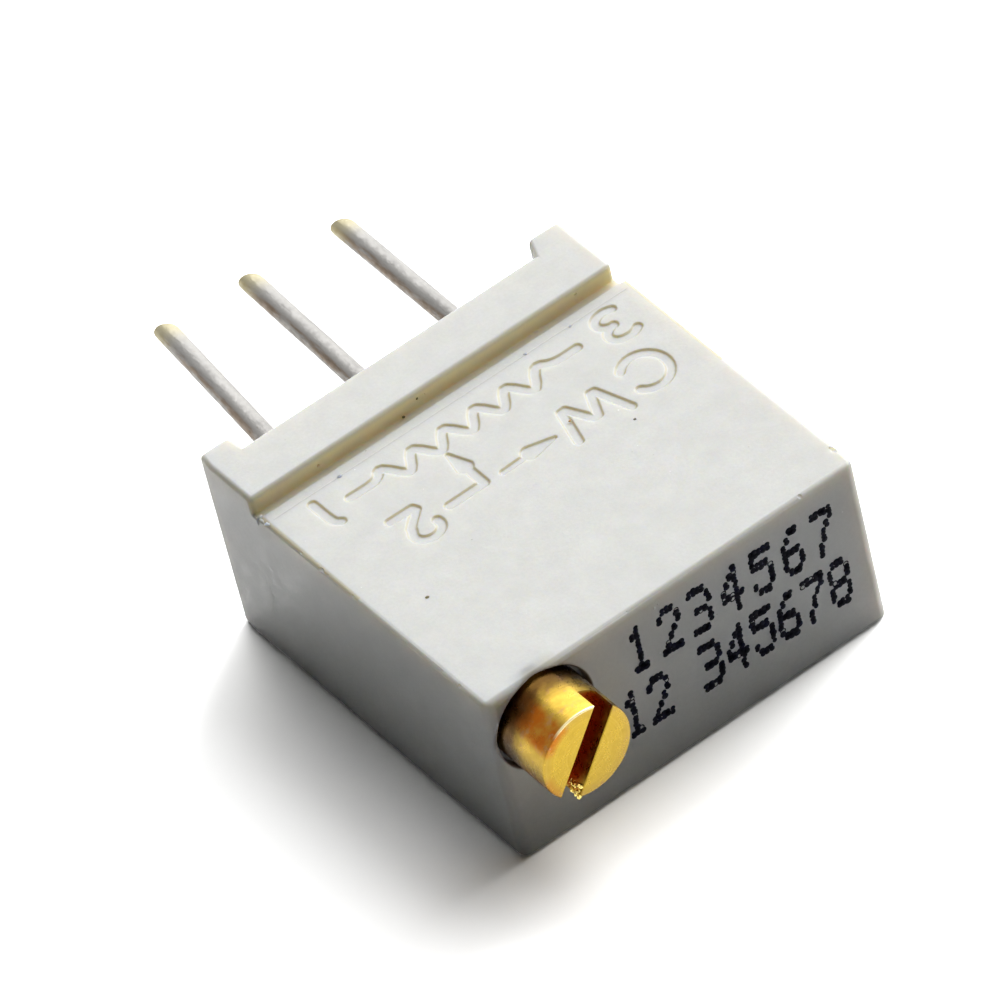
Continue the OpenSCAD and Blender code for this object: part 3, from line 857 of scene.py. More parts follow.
@dataclass
class SunkMarks:
    """Sunk marks of the marked face: terminal numbers, circuit symbol and turning direction."""

    face_z: float
    front_y: float
    depth: float = 0.042
    wall: float = 0.060
    shift: Point = (-0.06, -0.10)
    window_x: Point = (-4.35, 4.35)
    window_y: Point = (4.55, 7.80)
    fields: int = 3
    coarse_cuts: int = 28
    fine_cuts: int = 5
    crest_y: float = 7.36
    trough_y: float = 6.64
    tooth_step: float = 0.405
    first_tooth: float = -2.13
    teeth: int = 11
    search_reach: float = 0.3
    soft_margin: float = 0.05
    soft_deep: float = 0.1
    soft_over: float = 0.001
    cell_share: float = 0.75

    def strokes(self) -> list[Groove]:
        """Lists the strokes, with Y counted from the screw face.

        Returns:
            All strokes in order.
        """
        teeth = tuple((self.first_tooth + i * self.tooth_step, self.trough_y if i % 2 else self.crest_y)
                      for i in range(self.teeth))
        element = Groove(((-3.05, 7.06), (-2.34, 7.04)) + teeth + ((2.26, 7.09), (2.88, 7.09)), (0.22, 0.22))
        one = Groove(((-3.72, 7.48), (-3.71, 6.76), (-3.58, 6.64)))
        wiper_head = Groove(((-0.90, 6.55), (-0.86, 6.02)), (0.10, 0.40), 0)
        wiper_stem = Groove(((-0.85, 6.00), (-0.85, 5.33), (-1.75, 5.33)), (0.22, 0.22), 0)
        two_foot = arc((-2.48, 5.12), (0.32, 0.28), 140, 375)
        two = Groove(((-2.90, 5.86), (-2.20, 5.85), (-2.70, 5.40)) + two_foot, rounding=1)
        three = Groove(arc((3.86, 7.29), (0.33, 0.24), 50, 262) + arc((3.87, 6.81), (0.35, 0.26), 98, 320),
                       rounding=1)
        letter_c = Groove(arc((3.45, 5.46), (0.52, 0.56), 140, -140, 22), rounding=0)
        letter_w = Groove(((2.62, 4.84), (2.30, 5.92), (1.93, 5.03), (1.52, 5.92), (1.24, 4.84)), rounding=1)
        turn_head = Groove(((0.33, 5.33), (0.96, 5.30)), (0.42, 0.08), 0)
        turn_tail = Groove(((0.36, 5.31), (-0.40, 5.28)), (0.15, 0.15), 0)
        return [one, element, wiper_head, wiper_stem, two, three, letter_c, letter_w, turn_head, turn_tail]

    def runs(self) -> list[tuple[Vector, Vector, float, float]]:
        """Cuts the strokes into straight runs.

        Returns:
            Start, end, and half width at both, of each run, in the part's frame.
        """
        made = []
        move = Vector((self.shift[0], self.shift[1] + self.front_y))
        for stroke in self.strokes():
            points = [point + move for point in stroke.smoothed()]
            lengths = [(second - first).length for first, second in zip(points, points[1:])]
            total, done = sum(lengths), 0.0
            for first, second, length in zip(points, points[1:], lengths):
                near, far = (stroke.widths[0] + (stroke.widths[1] - stroke.widths[0]) * part / total
                             for part in (done, done + length))
                made.append((first, second, near / 2, far / 2))
                done += length
        return made

    def clearance(self, spots: np.ndarray) -> np.ndarray:
        """Measures how far points lie outside the strokes.

        Args:
            spots: Array of X and Y.

        Returns:
            Distance to the nearest stroke's edge, negative inside it, and at most 1.
        """
        nearest = np.ones(len(spots))
        for first, second, near, far in self.runs():
            run = second - first
            reach = max(near, far) + self.search_reach
            low = np.minimum(first, second) - reach
            high = np.maximum(first, second) + reach
            close = np.nonzero(np.all((spots > low) & (spots < high), axis=1))[0]
            away = spots[close] - np.array(first)
            along = np.clip(away @ np.array(run) / max(1e-9, run.length_squared), 0.0, 1.0)
            gap = np.linalg.norm(away - along[:, None] * np.array(run), axis=1)
            nearest[close] = np.minimum(nearest[close], gap - (near + (far - near) * along))
        return nearest

    def level_faces(self, shape: Shape, windowed: bool = True) -> list[Face]:
        """Finds the flat faces at the marked face's height.

        Args:
            shape: Bmesh to search.
            windowed: Whether only faces whose centre lies in the marked window count.

        Returns:
            The faces.
        """
        (low_x, high_x), (low_y, high_y) = self.window_x, self.window_y
        flat = [face for face in shape.faces if face.normal.z > LEVEL_NORMAL
                and all(abs(corner.co.z - self.face_z) < TOUCH for corner in face.verts)]
        centres = [(face, face.calc_center_median()) for face in flat]
        return [face for face, spot in centres
                if not windowed or low_x < spot.x < high_x and low_y < spot.y - self.front_y < high_y]

    def widest_face(self, shape: Shape) -> list[Face]:
        """Finds the largest flat face at the marked face's height."""
        return [max(self.level_faces(shape, False), key=lambda face: face.calc_area())]

    def sink(self, piece: Piece) -> None:
        """Refines the marked window of a piece and sinks the strokes into it.

        Args:
            piece: Housing, in millimetres.
        """
        width = (self.window_x[1] - self.window_x[0]) / self.fields
        with editing(piece) as shape:
            for wall_x in self.window_x:
                bisect(shape, 0, wall_x, self.widest_face(shape))
            low_y, high_y = (self.front_y + wall_y for wall_y in self.window_y)
            bisect(shape, 1, low_y, self.widest_face(shape))
            bisect(shape, 1, high_y, self.level_faces(shape))
            for index in range(1, self.fields):
                bisect(shape, 0, self.window_x[0] + index * width, self.level_faces(shape))
            edges = {edge for face in self.level_faces(shape) for edge in face.edges}
            bmesh.ops.subdivide_edges(shape, edges=list(edges), cuts=self.coarse_cuts, use_grid_fill=True)
            cells = [face for face in self.level_faces(shape) if len(face.verts) == 4]
            centres = np.array([face.calc_center_median()[:2] for face in cells])
            half_cell = self.cell_share * width / (self.coarse_cuts + 1)
            near = self.clearance(centres) < self.wall / 2 + half_cell
            edges = {edge for face, wanted in zip(cells, near) if wanted for edge in face.edges}
            bmesh.ops.subdivide_edges(shape, edges=list(edges), cuts=self.fine_cuts, use_grid_fill=True)
        self.lower(piece.data)

    def lower(self, data: bpy.types.Mesh) -> None:
        """Lowers the points that lie in the strokes.

        Args:
            data: Mesh with its refined window.
        """
        places = points_of(data)
        level = np.nonzero(np.abs(places[:, 2] - self.face_z) < TOUCH)[0]
        inside = np.clip(0.5 - self.clearance(places[level, :2]) / self.wall, 0.0, 1.0)
        places[level, 2] -= self.depth * inside * inside * (3 - 2 * inside)
        data.vertices.foreach_set("co", places.reshape(-1))
        data.update()

    def soften(self, data: bpy.types.Mesh) -> None:
        """Keeps the walls of the sunk marks free of hard edges.

        Args:
            data: Finished mesh, in metres.
        """
        x, y, z = (points_of(data) / MM).T
        sunk = (z > self.face_z - self.soft_deep) & (z < self.face_z + self.soft_over)
        sunk &= np.abs(x) < self.window_x[1] + NEAR
        low_y, high_y = (self.front_y + wall_y for wall_y in self.window_y)
        sunk &= (y > low_y - self.soft_margin) & (y < high_y + self.soft_margin)
        for edge in data.edges:
            if edge.use_edge_sharp and all(sunk[end] for end in edge.vertices):
                edge.use_edge_sharp = False


# ---------------------------------------------------------------- housing


@dataclass
class Housing:
    """Moulded housing with collar, standoff feet, hollow, screw recess and sunk marks."""

    shell: NodeBox
    seal: NodeBox
    substrate: NodeBox
    retainer: NodeBox
    screw: NodeBox
    body_w: float = 9.53
    body_d: float = 9.53
    collar_h: float = 0.39
    collar_d: float = 1.43
    rear_d: float = 1.65
    channel_sink: float = 0.08
    collar_inset: float = 0.115
    foot_h: float = 0.48
    near_foot: Point = (0.86, 0.74)
    far_foot: Point = (0.98, 0.80)
    near_foot_lean: float = 0.06
    draft_degrees: float = 0.3
    wall_gap: float = 5e-4
    recess_r: float = 1.185
    recess_deep: float = 0.32
    recess_ease: float = 0.055
    bore_r: float = 0.79
    channel_r: float = 0.776
    channel_end: float = 2.17
    ledge_w: float = 0.5
    lap: float = 1.1
    mouth_over: float = 2.0
    bore_over: float = 1.0
    flat_degrees: float = 0.5
    chip_spans: tuple[Point, ...] = ((0.7, 1.1), (0.9, 1.7), (0.5, 0.9))
    chip_uneven: Point = (0.85, 1.12)
    crease: float = 38.0

    def __post_init__(self) -> None:
        """Works out the places of the main faces, and where the inner edges of the feet begin."""
        self.front_y = self.shell.low.y
        self.base_y = self.front_y + self.body_d
        self.rear_y = self.base_y - self.rear_d
        self.collar_y = self.base_y - self.collar_d
        self.tip_y = self.base_y + self.foot_h
        self.top_z = self.shell.high.z - self.collar_h
        self.floor_z = self.top_z - self.channel_sink
        self.step_x = self.body_w / 2 - self.collar_inset
        self.near_root = -self.wall_x(self.base_y) + self.near_foot[0]
        self.far_root = self.step_x - self.far_foot[0]

    def wall_x(self, y: float) -> float:
        """Gives half the drafted width at a place along Y."""
        return self.body_w / 2 + (y - self.front_y) * math.tan(math.radians(self.draft_degrees))

    def build(self, material: Material) -> None:
        """Builds, sinks the marks and dresses the housing.

        Args:
            material: The plastic.
        """
        piece = self.front_block()
        piece.name = "housing_moulding"
        combine(piece, self.rear_block(), Cut.ONTO)
        for tool in self.hollow_tools():
            combine(piece, tool, Cut.AWAY)
        combine(piece, self.nicks(), Cut.AWAY)
        with editing(piece) as shape:
            mend(shape)
        marks = SunkMarks(face_z=self.top_z, front_y=self.front_y)
        marks.sink(piece)
        finish_piece(piece, material, "body", self.crease)
        marks.soften(piece.data)
        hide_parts("housing")

    def front_block(self) -> Piece:
        """Shapes the block in front of the channel.

        Returns:
            The block with its edges rounded.
        """
        half, front, rear, top = self.body_w / 2, self.front_y, self.rear_y, self.top_z
        shape = block((-half, front, 0), (half, rear, top))
        for corner in shape.verts:
            corner.co.x = math.copysign(self.wall_x(corner.co.y), corner.co.x)
        return rounded_solid(shape, "front_block", (
            (0.25, lambda edge: lies_at(edge, y=front) and runs_along(edge, 2)),
            (0.17, lambda edge: lies_at(edge, y=front, z=top)),
            (0.16, lambda edge: lies_at(edge, y=front, z=0)),
            (0.14, lambda edge: runs_along(edge, 1)),
            (0.03, lambda edge: lies_at(edge, y=rear, z=top)),
            (0.05, lambda edge: lies_at(edge, y=rear) and runs_along(edge, 2) and edge.verts[0].co.x > 0),
        ))

    def rear_block(self) -> Piece:
        """Shapes the rear zone: channel floor, collar and standoff feet.

        Returns:
            The rear zone with its edges rounded.
        """
        shape = block((-self.body_w / 2, self.rear_y - self.lap, 0), (self.step_x, self.base_y, self.floor_z))
        bisect(shape, 1, self.collar_y)
        self.raise_faces(shape, Vector((0, 0, self.shell.high.z - self.floor_z)),
                         lambda normal, spot: normal.z > MAIN_WAY and spot.y > self.collar_y)
        for root in (self.near_root, self.far_root):
            bisect(shape, 0, root)
        self.raise_faces(shape, Vector((0, self.foot_h, 0)),
                         lambda normal, spot: normal.y > MAIN_WAY and spot.y > self.base_y - NEAR
                         and not self.near_root < spot.x < self.far_root)
        self.shape_feet(shape)
        bmesh.ops.dissolve_limit(shape, angle_limit=math.radians(self.flat_degrees),
                                verts=shape.verts, edges=shape.edges)
        wall, base, top, tip, floor = self.collar_y, self.base_y, self.shell.high.z, self.tip_y, self.floor_z
        return rounded_solid(shape, "rear_block", (
            (0.0, lambda edge: lies_at(edge, y=self.rear_y - self.lap)),
            (0.03, lambda edge: lies_at(edge, y=wall, z=floor)),
            (0.08, lambda edge: lies_at(edge, y=wall, z=top)),
            (0.12, lambda edge: lies_at(edge, y=wall)),
            (0.16, lambda edge: lies_at(edge, y=base, z=top)),
            (0.06, lambda edge: any(lies_at(edge, y=base, x=x) for x in (self.near_root, self.far_root))),
            (0.16, lambda edge: lies_at(edge, y=tip, z=top) and edge.verts[0].co.x <= 0),
            (0.11, lambda edge: lies_at(edge, y=tip)),
            (0.06, lambda edge: lies_at(edge, z=floor)),
            (0.12, lambda edge: lies_at(edge, z=top)),
            (0.14, lambda edge: lies_at(edge, z=0)),
        ))

    @staticmethod
    def raise_faces(shape: Shape, by: Vector, test: FaceTest) -> None:
        """Extrudes the faces that pass a test.

        Args:
            shape: Bmesh to change.
            by: Way and height of the extrusion.
            test: Says by its normal and centre whether a face is raised.
        """
        chosen = [face for face in shape.faces if test(face.normal, face.calc_center_median())]
        made = bmesh.ops.extrude_face_region(shape, geom=chosen)
        corners = [part for part in made["geom"] if isinstance(part, bmesh.types.BMVert)]
        bmesh.ops.translate(shape, vec=by, verts=corners)
        bmesh.ops.delete(shape, geom=chosen, context="FACES")

    def shape_feet(self, shape: Shape) -> None:
        """Drafts the screw-side wall and narrows both feet towards their tips.

        Args:
            shape: Bmesh to change.
        """
        outer = self.wall_x(self.base_y) - self.near_foot_lean
        for corner in shape.verts:
            place = corner.co
            tip = place.y > self.base_y + self.foot_h / 2
            if place.x < -self.body_w / 2 + NEAR:
                place.x = -outer if tip else -self.wall_x(place.y) + self.wall_gap
            elif tip and abs(place.x - self.near_root) < NEAR:
                place.x = -outer + self.near_foot[1]
            elif tip and abs(place.x - self.far_root) < NEAR:
                place.x = self.step_x - self.far_foot[1]

    def hollow_tools(self) -> list[Piece]:
        """Shapes the solids that hollow the housing.

        Returns:
            Blocks for the hollow and a turned solid for the screw's recess, bore and channel.
        """
        inner_front, low, high = self.retainer.low.y, self.seal.low, self.seal.high
        mouth = object_from(block(low, (high.x, self.base_y + self.mouth_over, high.z)), "mouth")
        room = object_from(block((low.x, inner_front, low.z), (high.x, low.y + NEAR, high.z)), "room")
        spread = high.x * 2 / 3
        for middle in (-spread * 1.5, -spread * 0.5, spread * 0.5, spread * 1.5):
            inward = -math.copysign(self.ledge_w / 2, middle) if abs(middle) > spread else 0.0
            low_x = middle + inward - self.ledge_w / 2
            ledge = block((low_x, inner_front - self.ledge_w, 0),
                          (low_x + self.ledge_w, low.y + self.ledge_w, self.substrate.low.z))
            combine(room, object_from(ledge, "ledge"), Cut.AWAY)
        seat, mouth_y = self.front_y + self.recess_deep, self.front_y - self.bore_over
        outline = [(0, mouth_y), (self.recess_r + self.recess_ease, mouth_y),
                   *eased(self.recess_r, self.front_y, -self.recess_ease, (0, 22.5, 45, 67.5, 90)),
                   (self.recess_r, seat), (self.bore_r, seat), (self.bore_r, inner_front),
                   (self.channel_r, inner_front), (self.channel_r, self.channel_end), (0, self.channel_end)]
        return [mouth, room, object_from(spun(outline, self.screw.middle, 128), "screw_way")]

    def nicks(self) -> Piece:
        """Scatters the small chips along the edges.

        Returns:
            A group of lumps to cut away.
        """
        rolls = random.Random(41)
        shape = bmesh.new()
        front, top, wall = self.front_y, self.top_z, self.collar_y - 0.005
        spots = [(-self.wall_x(front + y) + 0.02, front + y, top - 0.015, size) for y, size in
                 ((6.42, 0.055), (5.72, 0.07), (5.48, 0.045), (4.62, 0.06), (1.52, 0.05), (0.93, 0.06))]
        spots += [(4.66, front + 0.62, top - 0.01, 0.07), (-1.1, front + 0.03, top - 0.02, 0.05),
                  (3.37, front + 0.03, top - 0.02, 0.06), (-3.08, wall, top + 0.12, 0.05),
                  (-0.31, wall, top + 0.17, 0.035), (3.66, wall, top + 0.2, 0.04)]
        for *place, size in spots:
            chip = lump(rolls, 2, size, self.chip_spans, self.chip_uneven)
            bmesh.ops.translate(chip, vec=place, verts=chip.verts)
            append_shape(shape, chip)
        return object_from(shape, "nicks")


@dataclass
class WitnessLine:
    """Faint raised line that a slide of the mould left across the marked face."""

    face_z: float
    front_y: float
    place_y: float = 7.63
    width: float = 0.060
    height: float = 0.005
    half_length: float = 4.60
    crease: float = 60.0

    def build(self, material: Material) -> None:
        """Builds and dresses the line.

        Args:
            material: The line's own plastic.
        """
        y = self.front_y + self.place_y
        shape = block((-self.half_length, y - self.width / 2, self.face_z - 0.01),
                      (self.half_length, y + self.width / 2, self.face_z + self.height))
        edges = [edge for edge in shape.edges if runs_along(edge, 0)]
        bmesh.ops.subdivide_edges(shape, edges=edges, cuts=60)
        for corner in shape.verts:
            if corner.co.z > self.face_z:
                waver = noise.noise(Vector((corner.co.x * 1.7, 0, 3.1)))
                corner.co.z -= self.height * (0.35 + 0.5 * waver)
                corner.co.y = y + (corner.co.y - y) * (0.45 + 0.25 * waver)
        piece = object_from(shape, "witness_line")
        finish_piece(piece, material, "body", self.crease, False)


# ---------------------------------------------------------------- print


@dataclass
class InkPrint:
    """Two rows of jet-printed plain numbers on the screw face, each figure made of drops."""

    front_y: float
    rows: tuple[str, str] = ("1234567", "12 345678")
    starts: tuple[Point, Point] = ((-1.30, 2.93), (-1.76, 1.38))
    pitches: Point = (0.790, 0.665)
    drop_r: float = 0.078
    drop_h: float = 0.005
    sunk: float = 0.004
    stray: float = 0.010
    hollow_share: float = 0.05
    column: float = 0.108
    line: float = 0.178
    slope_degrees: float = -2.0
    sides: int = 12
    size_range: Point = (0.82, 1.10)
    wide_range: Point = (0.9, 1.15)
    tall_range: Point = (0.9, 1.1)
    crown_share: float = 0.88
    rim_share: float = 0.42
    crease: float = 70.0

    FIGURES = {
        "1": ("00100", "01100", "00100", "00100", "00100", "00100", "01110"),
        "2": ("01110", "10001", "00001", "00010", "00100", "01000", "11111"),
        "3": ("11110", "00001", "00001", "01110", "00001", "00001", "11110"),
        "4": ("00010", "00110", "01010", "10010", "11111", "00010", "00010"),
        "5": ("11111", "10000", "11110", "00001", "00001", "10001", "01110"),
        "6": ("00110", "01000", "10000", "11110", "10001", "10001", "01110"),
        "7": ("11111", "00001", "00010", "00100", "00100", "01000", "01000"),
        "8": ("01110", "10001", "10001", "01110", "10001", "10001", "01110"),
    }

    def build(self, material: Material) -> None:
        """Builds and dresses the print.

        Args:
            material: The ink.
        """
        rolls = random.Random(7)
        shape = bmesh.new()
        for text, start, pitch in zip(self.rows, self.starts, self.pitches):
            for place, figure in enumerate(text):
                for level, dots in enumerate(self.FIGURES.get(figure, ())):
                    for rank in (rank for rank, dot in enumerate(dots) if dot == "1"):
                        across, up = place * pitch + rank * self.column, (6 - level) * self.line
                        for lift in (-0.25, 0.25):
                            self.drop(shape, start, across, up + lift * self.line, rolls)
        piece = object_from(shape, "printed_numbers")
        finish_piece(piece, material, "body", self.crease, False)

    def drop(self, shape: Shape, start: Point, across: float, up: float, rolls: random.Random) -> None:
        """Adds one drop of ink, now and then with a hollow middle.

        Args:
            shape: Bmesh to add to.
            start: X and Z of the row's first drop.
            across: Distance along the row.
            up: Distance above the row's foot.
            rolls: Source of the small differences.
        """
        slope = math.radians(self.slope_degrees)
        x = start[0] + across * math.cos(slope) - up * math.sin(slope) + rolls.gauss(0, self.stray)
        z = start[1] + across * math.sin(slope) + up * math.cos(slope) + rolls.gauss(0, self.stray)
        radius = self.drop_r * rolls.uniform(*self.size_range)
        place = Matrix.Translation((x, self.front_y + (self.sunk - self.drop_h) / 2, z))
        wide, tall = rolls.uniform(*self.wide_range), rolls.uniform(*self.tall_range)
        squeeze = Matrix.Diagonal((wide, 1.0, tall, 1.0))
        turn = Matrix.Rotation(math.radians(90), 4, "X")
        made = bmesh.ops.create_cone(shape, cap_ends=True, segments=self.sides, radius1=radius,
                                     radius2=radius * self.crown_share, depth=self.drop_h + self.sunk,
                                     matrix=place @ squeeze @ turn)
        if rolls.random() < self.hollow_share:
            outer = [face for face in {f for v in made["verts"] for f in v.link_faces}
                     if face.calc_center_median().y < self.front_y - self.drop_h * 0.9]
            bmesh.ops.inset_individual(shape, faces=outer, thickness=radius * self.rim_share)
            bmesh.ops.translate(shape, vec=(0, self.drop_h + self.sunk * 0.5, 0),
                                verts=list({corner for face in outer for corner in face.verts}))


# ---------------------------------------------------------------- adjusting screw


@dataclass
class AdjustingScrew:
    """Brass adjusting screw: slotted head, ring groove, thin neck and right-handed worm."""

    box: NodeBox
    retainer: NodeBox
    head_r: float = 1.095
    head_seat: float = 0.3
    head_ease: float = 0.045
    shank_r: float = 0.76
    groove_r: float = 0.46
    groove_from: float = 0.48
    groove_w: float = 0.36
    neck_r: float = 0.4
    pitch_r: float = 0.5347
    pitch: float = 0.6
    flank_degrees: float = 20.0
    flank_fit: float = 0.05
    thread_len: float = 3.6
    thread_steps: int = 48
    thread_turns: int = 8
    slot_w: float = 0.5
    slot_d: float = 0.6
    slot_turn: float = 54.7
    slot_ease: float = 0.018
    flakes: int = 30
    flake_r: Point = (0.035, 0.070)
    flake_back: Point = (0.0, 0.24)
    flake_side: Point = (-0.02, 0.05)
    flake_deep: Point = (0.03, 0.40)
    flake_spans: tuple[Point, ...] = ((0.4, 1.2), (0.4, 1.2), (0.2, 0.8))
    flake_uneven: Point = (0.7, 1.25)
    ridge_sink: float = 0.02
    ridge_over: float = 0.008
    tail_shares: Point = (0.9, 0.6)
    crease: float = 28.0
    flake_crease: float = 60.0
    head_break: float = 0.03
    joint_gap: float = 0.02

    def __post_init__(self) -> None:
        """Works out the axis, level with the head's end, and the radii of the worm."""
        self.axis = Vector((self.box.low.x + self.head_r, self.box.low.y, self.box.middle.z))
        self.worm_r = self.pitch_r + self.pitch / math.pi
        self.root_r = self.pitch_r - 1.25 * self.pitch / math.pi

    def build(self, material: Material, fresh: Material, front_y: float) -> None:
        """Builds and dresses the screw, with the swarf left in its slot.

        Args:
            material: The brass.
            fresh: Freshly cut brass for the swarf.
            front_y: Place of the screw face along Y.
        """
        flakes = object_from(self.swarf(), "slot_swarf")
        finish_piece(flakes, fresh, "screw", self.flake_crease)
        piece = object_from(self.blank(front_y), "adjusting_screw_turned")
        combine(piece, self.slot(), Cut.AWAY)
        with editing(piece) as shape:
            append_shape(shape, self.worm())
        finish_piece(piece, material, "screw", self.crease)
        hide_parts("adjusting_screw")

    def blank(self, front_y: float) -> Shape:
        """Turns the head, shank and neck up to the worm's start.

        Args:
            front_y: Place of the screw face along Y.

        Returns:
            The closed turned solid.
        """
        head_y, back_y, groove_y = self.axis.y, front_y + self.head_seat, front_y + self.groove_from
        neck_y, land_y = self.retainer.low.y - self.joint_gap, self.retainer.high.y + self.joint_gap
        outline = [(0, head_y), *eased(self.head_r, head_y, self.head_ease, (0, 25, 50, 70, 90)),
                   (self.head_r, back_y - self.head_break), (self.head_r - self.head_break, back_y),
                   (self.shank_r, back_y), (self.shank_r, groove_y), (self.groove_r, groove_y),
                   (self.groove_r, groove_y + self.groove_w), (self.shank_r, groove_y + self.groove_w),
                   (self.shank_r, neck_y), (self.neck_r, neck_y), (self.neck_r, land_y),
                   (self.worm_r, land_y), (self.worm_r, -self.thread_len / 2), (0, -self.thread_len / 2)]
        return spun(outline, self.axis, 128)

    def slot(self) -> Piece:
        """Shapes the driver slot, with its mouth eased.

        Returns:
            The solid to cut away.
        """
        long, half = self.head_r * 1.5, self.slot_w / 2
        shape = block((-long, self.axis.y - 0.5, -half), (long, self.axis.y + self.slot_d, half))
        for level in (self.axis.y, self.axis.y + self.slot_ease):
            bisect(shape, 1, level)
        for corner in shape.verts:
            if corner.co.y < self.axis.y + self.slot_ease / 2:
                corner.co.z = math.copysign(half + self.slot_ease, corner.co.z)
        turn = Matrix.Rotation(math.radians(-self.slot_turn), 4, "Y")
        place = Matrix.Translation((self.axis.x, 0, self.axis.z))
        bmesh.ops.transform(shape, matrix=place @ turn, verts=shape.verts)
        return object_from(shape, "slot")

    def worm(self) -> Shape:
        """Winds the worm's thread on its core.

        Returns:
            The thread, its core and the tail.
        """
        core, rise, tail_y = self.root_r, math.tan(math.radians(self.flank_degrees)), self.box.high.y
        start, end = -self.thread_len / 2, self.thread_len / 2
        wide, narrow = (core * share for share in self.tail_shares)
        shape = spun([(0, start - NEAR), (core, start - NEAR), (core, end), (wide, end),
                      (narrow, tail_y), (0, tail_y)], self.axis, 48)
        half = self.pitch / 4 - self.flank_fit / 2
        sunk_r = core - self.ridge_sink
        crest, foot = half - (self.worm_r - self.pitch_r) * rise, half + (self.pitch_r - sunk_r) * rise
        section = [(sunk_r, -foot), (self.worm_r, -crest), (self.worm_r, crest), (sunk_r, foot)]
        ridge = bmesh.new()
        first = -self.pitch * self.thread_turns / 2
        profile = ridge.faces.new([ridge.verts.new((self.axis.x + radius, first + along, self.axis.z))
                                   for radius, along in section])
        bmesh.ops.spin(ridge, geom=[profile, *profile.edges, *profile.verts],
                       cent=(self.axis.x, 0, self.axis.z), axis=(0, 1, 0),
                       dvec=(0, self.pitch / self.thread_steps, 0),
                       angle=math.tau * self.thread_turns, steps=self.thread_steps * self.thread_turns,
                       use_merge=False, use_duplicate=False)
        for level, way in ((start - self.ridge_over, -1), (end, 1)):
            cut = bmesh.ops.bisect_plane(ridge, geom=ridge.verts[:] + ridge.edges[:] + ridge.faces[:],
                                         plane_co=(0, level, 0), plane_no=(0, way, 0),
                                         clear_outer=True, dist=WELD)
            rim = [part for part in cut["geom_cut"] if isinstance(part, Edge)]
            bmesh.ops.edgenet_fill(ridge, edges=rim)
        bmesh.ops.recalc_face_normals(ridge, faces=ridge.faces)
        append_shape(shape, ridge)
        return shape

    def swarf(self) -> Shape:
        """Scatters bright swarf on the slot's wall, at its lower end.

        Returns:
            The swarf.
        """
        rolls = random.Random(23)
        shape = bmesh.new()
        turn = math.radians(self.slot_turn)
        for _ in range(self.flakes):
            back = self.head_r - self.head_break - rolls.uniform(*self.flake_back)
            side = self.slot_w / 2 - rolls.uniform(*self.flake_side)
            x = self.axis.x - back * math.cos(turn) + side * math.sin(turn)
            z = self.axis.z - back * math.sin(turn) - side * math.cos(turn)
            y = self.axis.y + rolls.uniform(*self.flake_deep)
            flake = lump(rolls, 1, rolls.uniform(*self.flake_r), self.flake_spans, self.flake_uneven)
            angle, pole = rolls.uniform(0, math.tau), Vector((rolls.random(), rolls.random(), 1.0))
            place = Matrix.Translation((x, y, z)) @ Matrix.Rotation(angle, 4, pole)
            bmesh.ops.transform(flake, matrix=place, verts=flake.verts)
            append_shape(shape, flake)
        return shape


# ---------------------------------------------------------------- terminals and potting


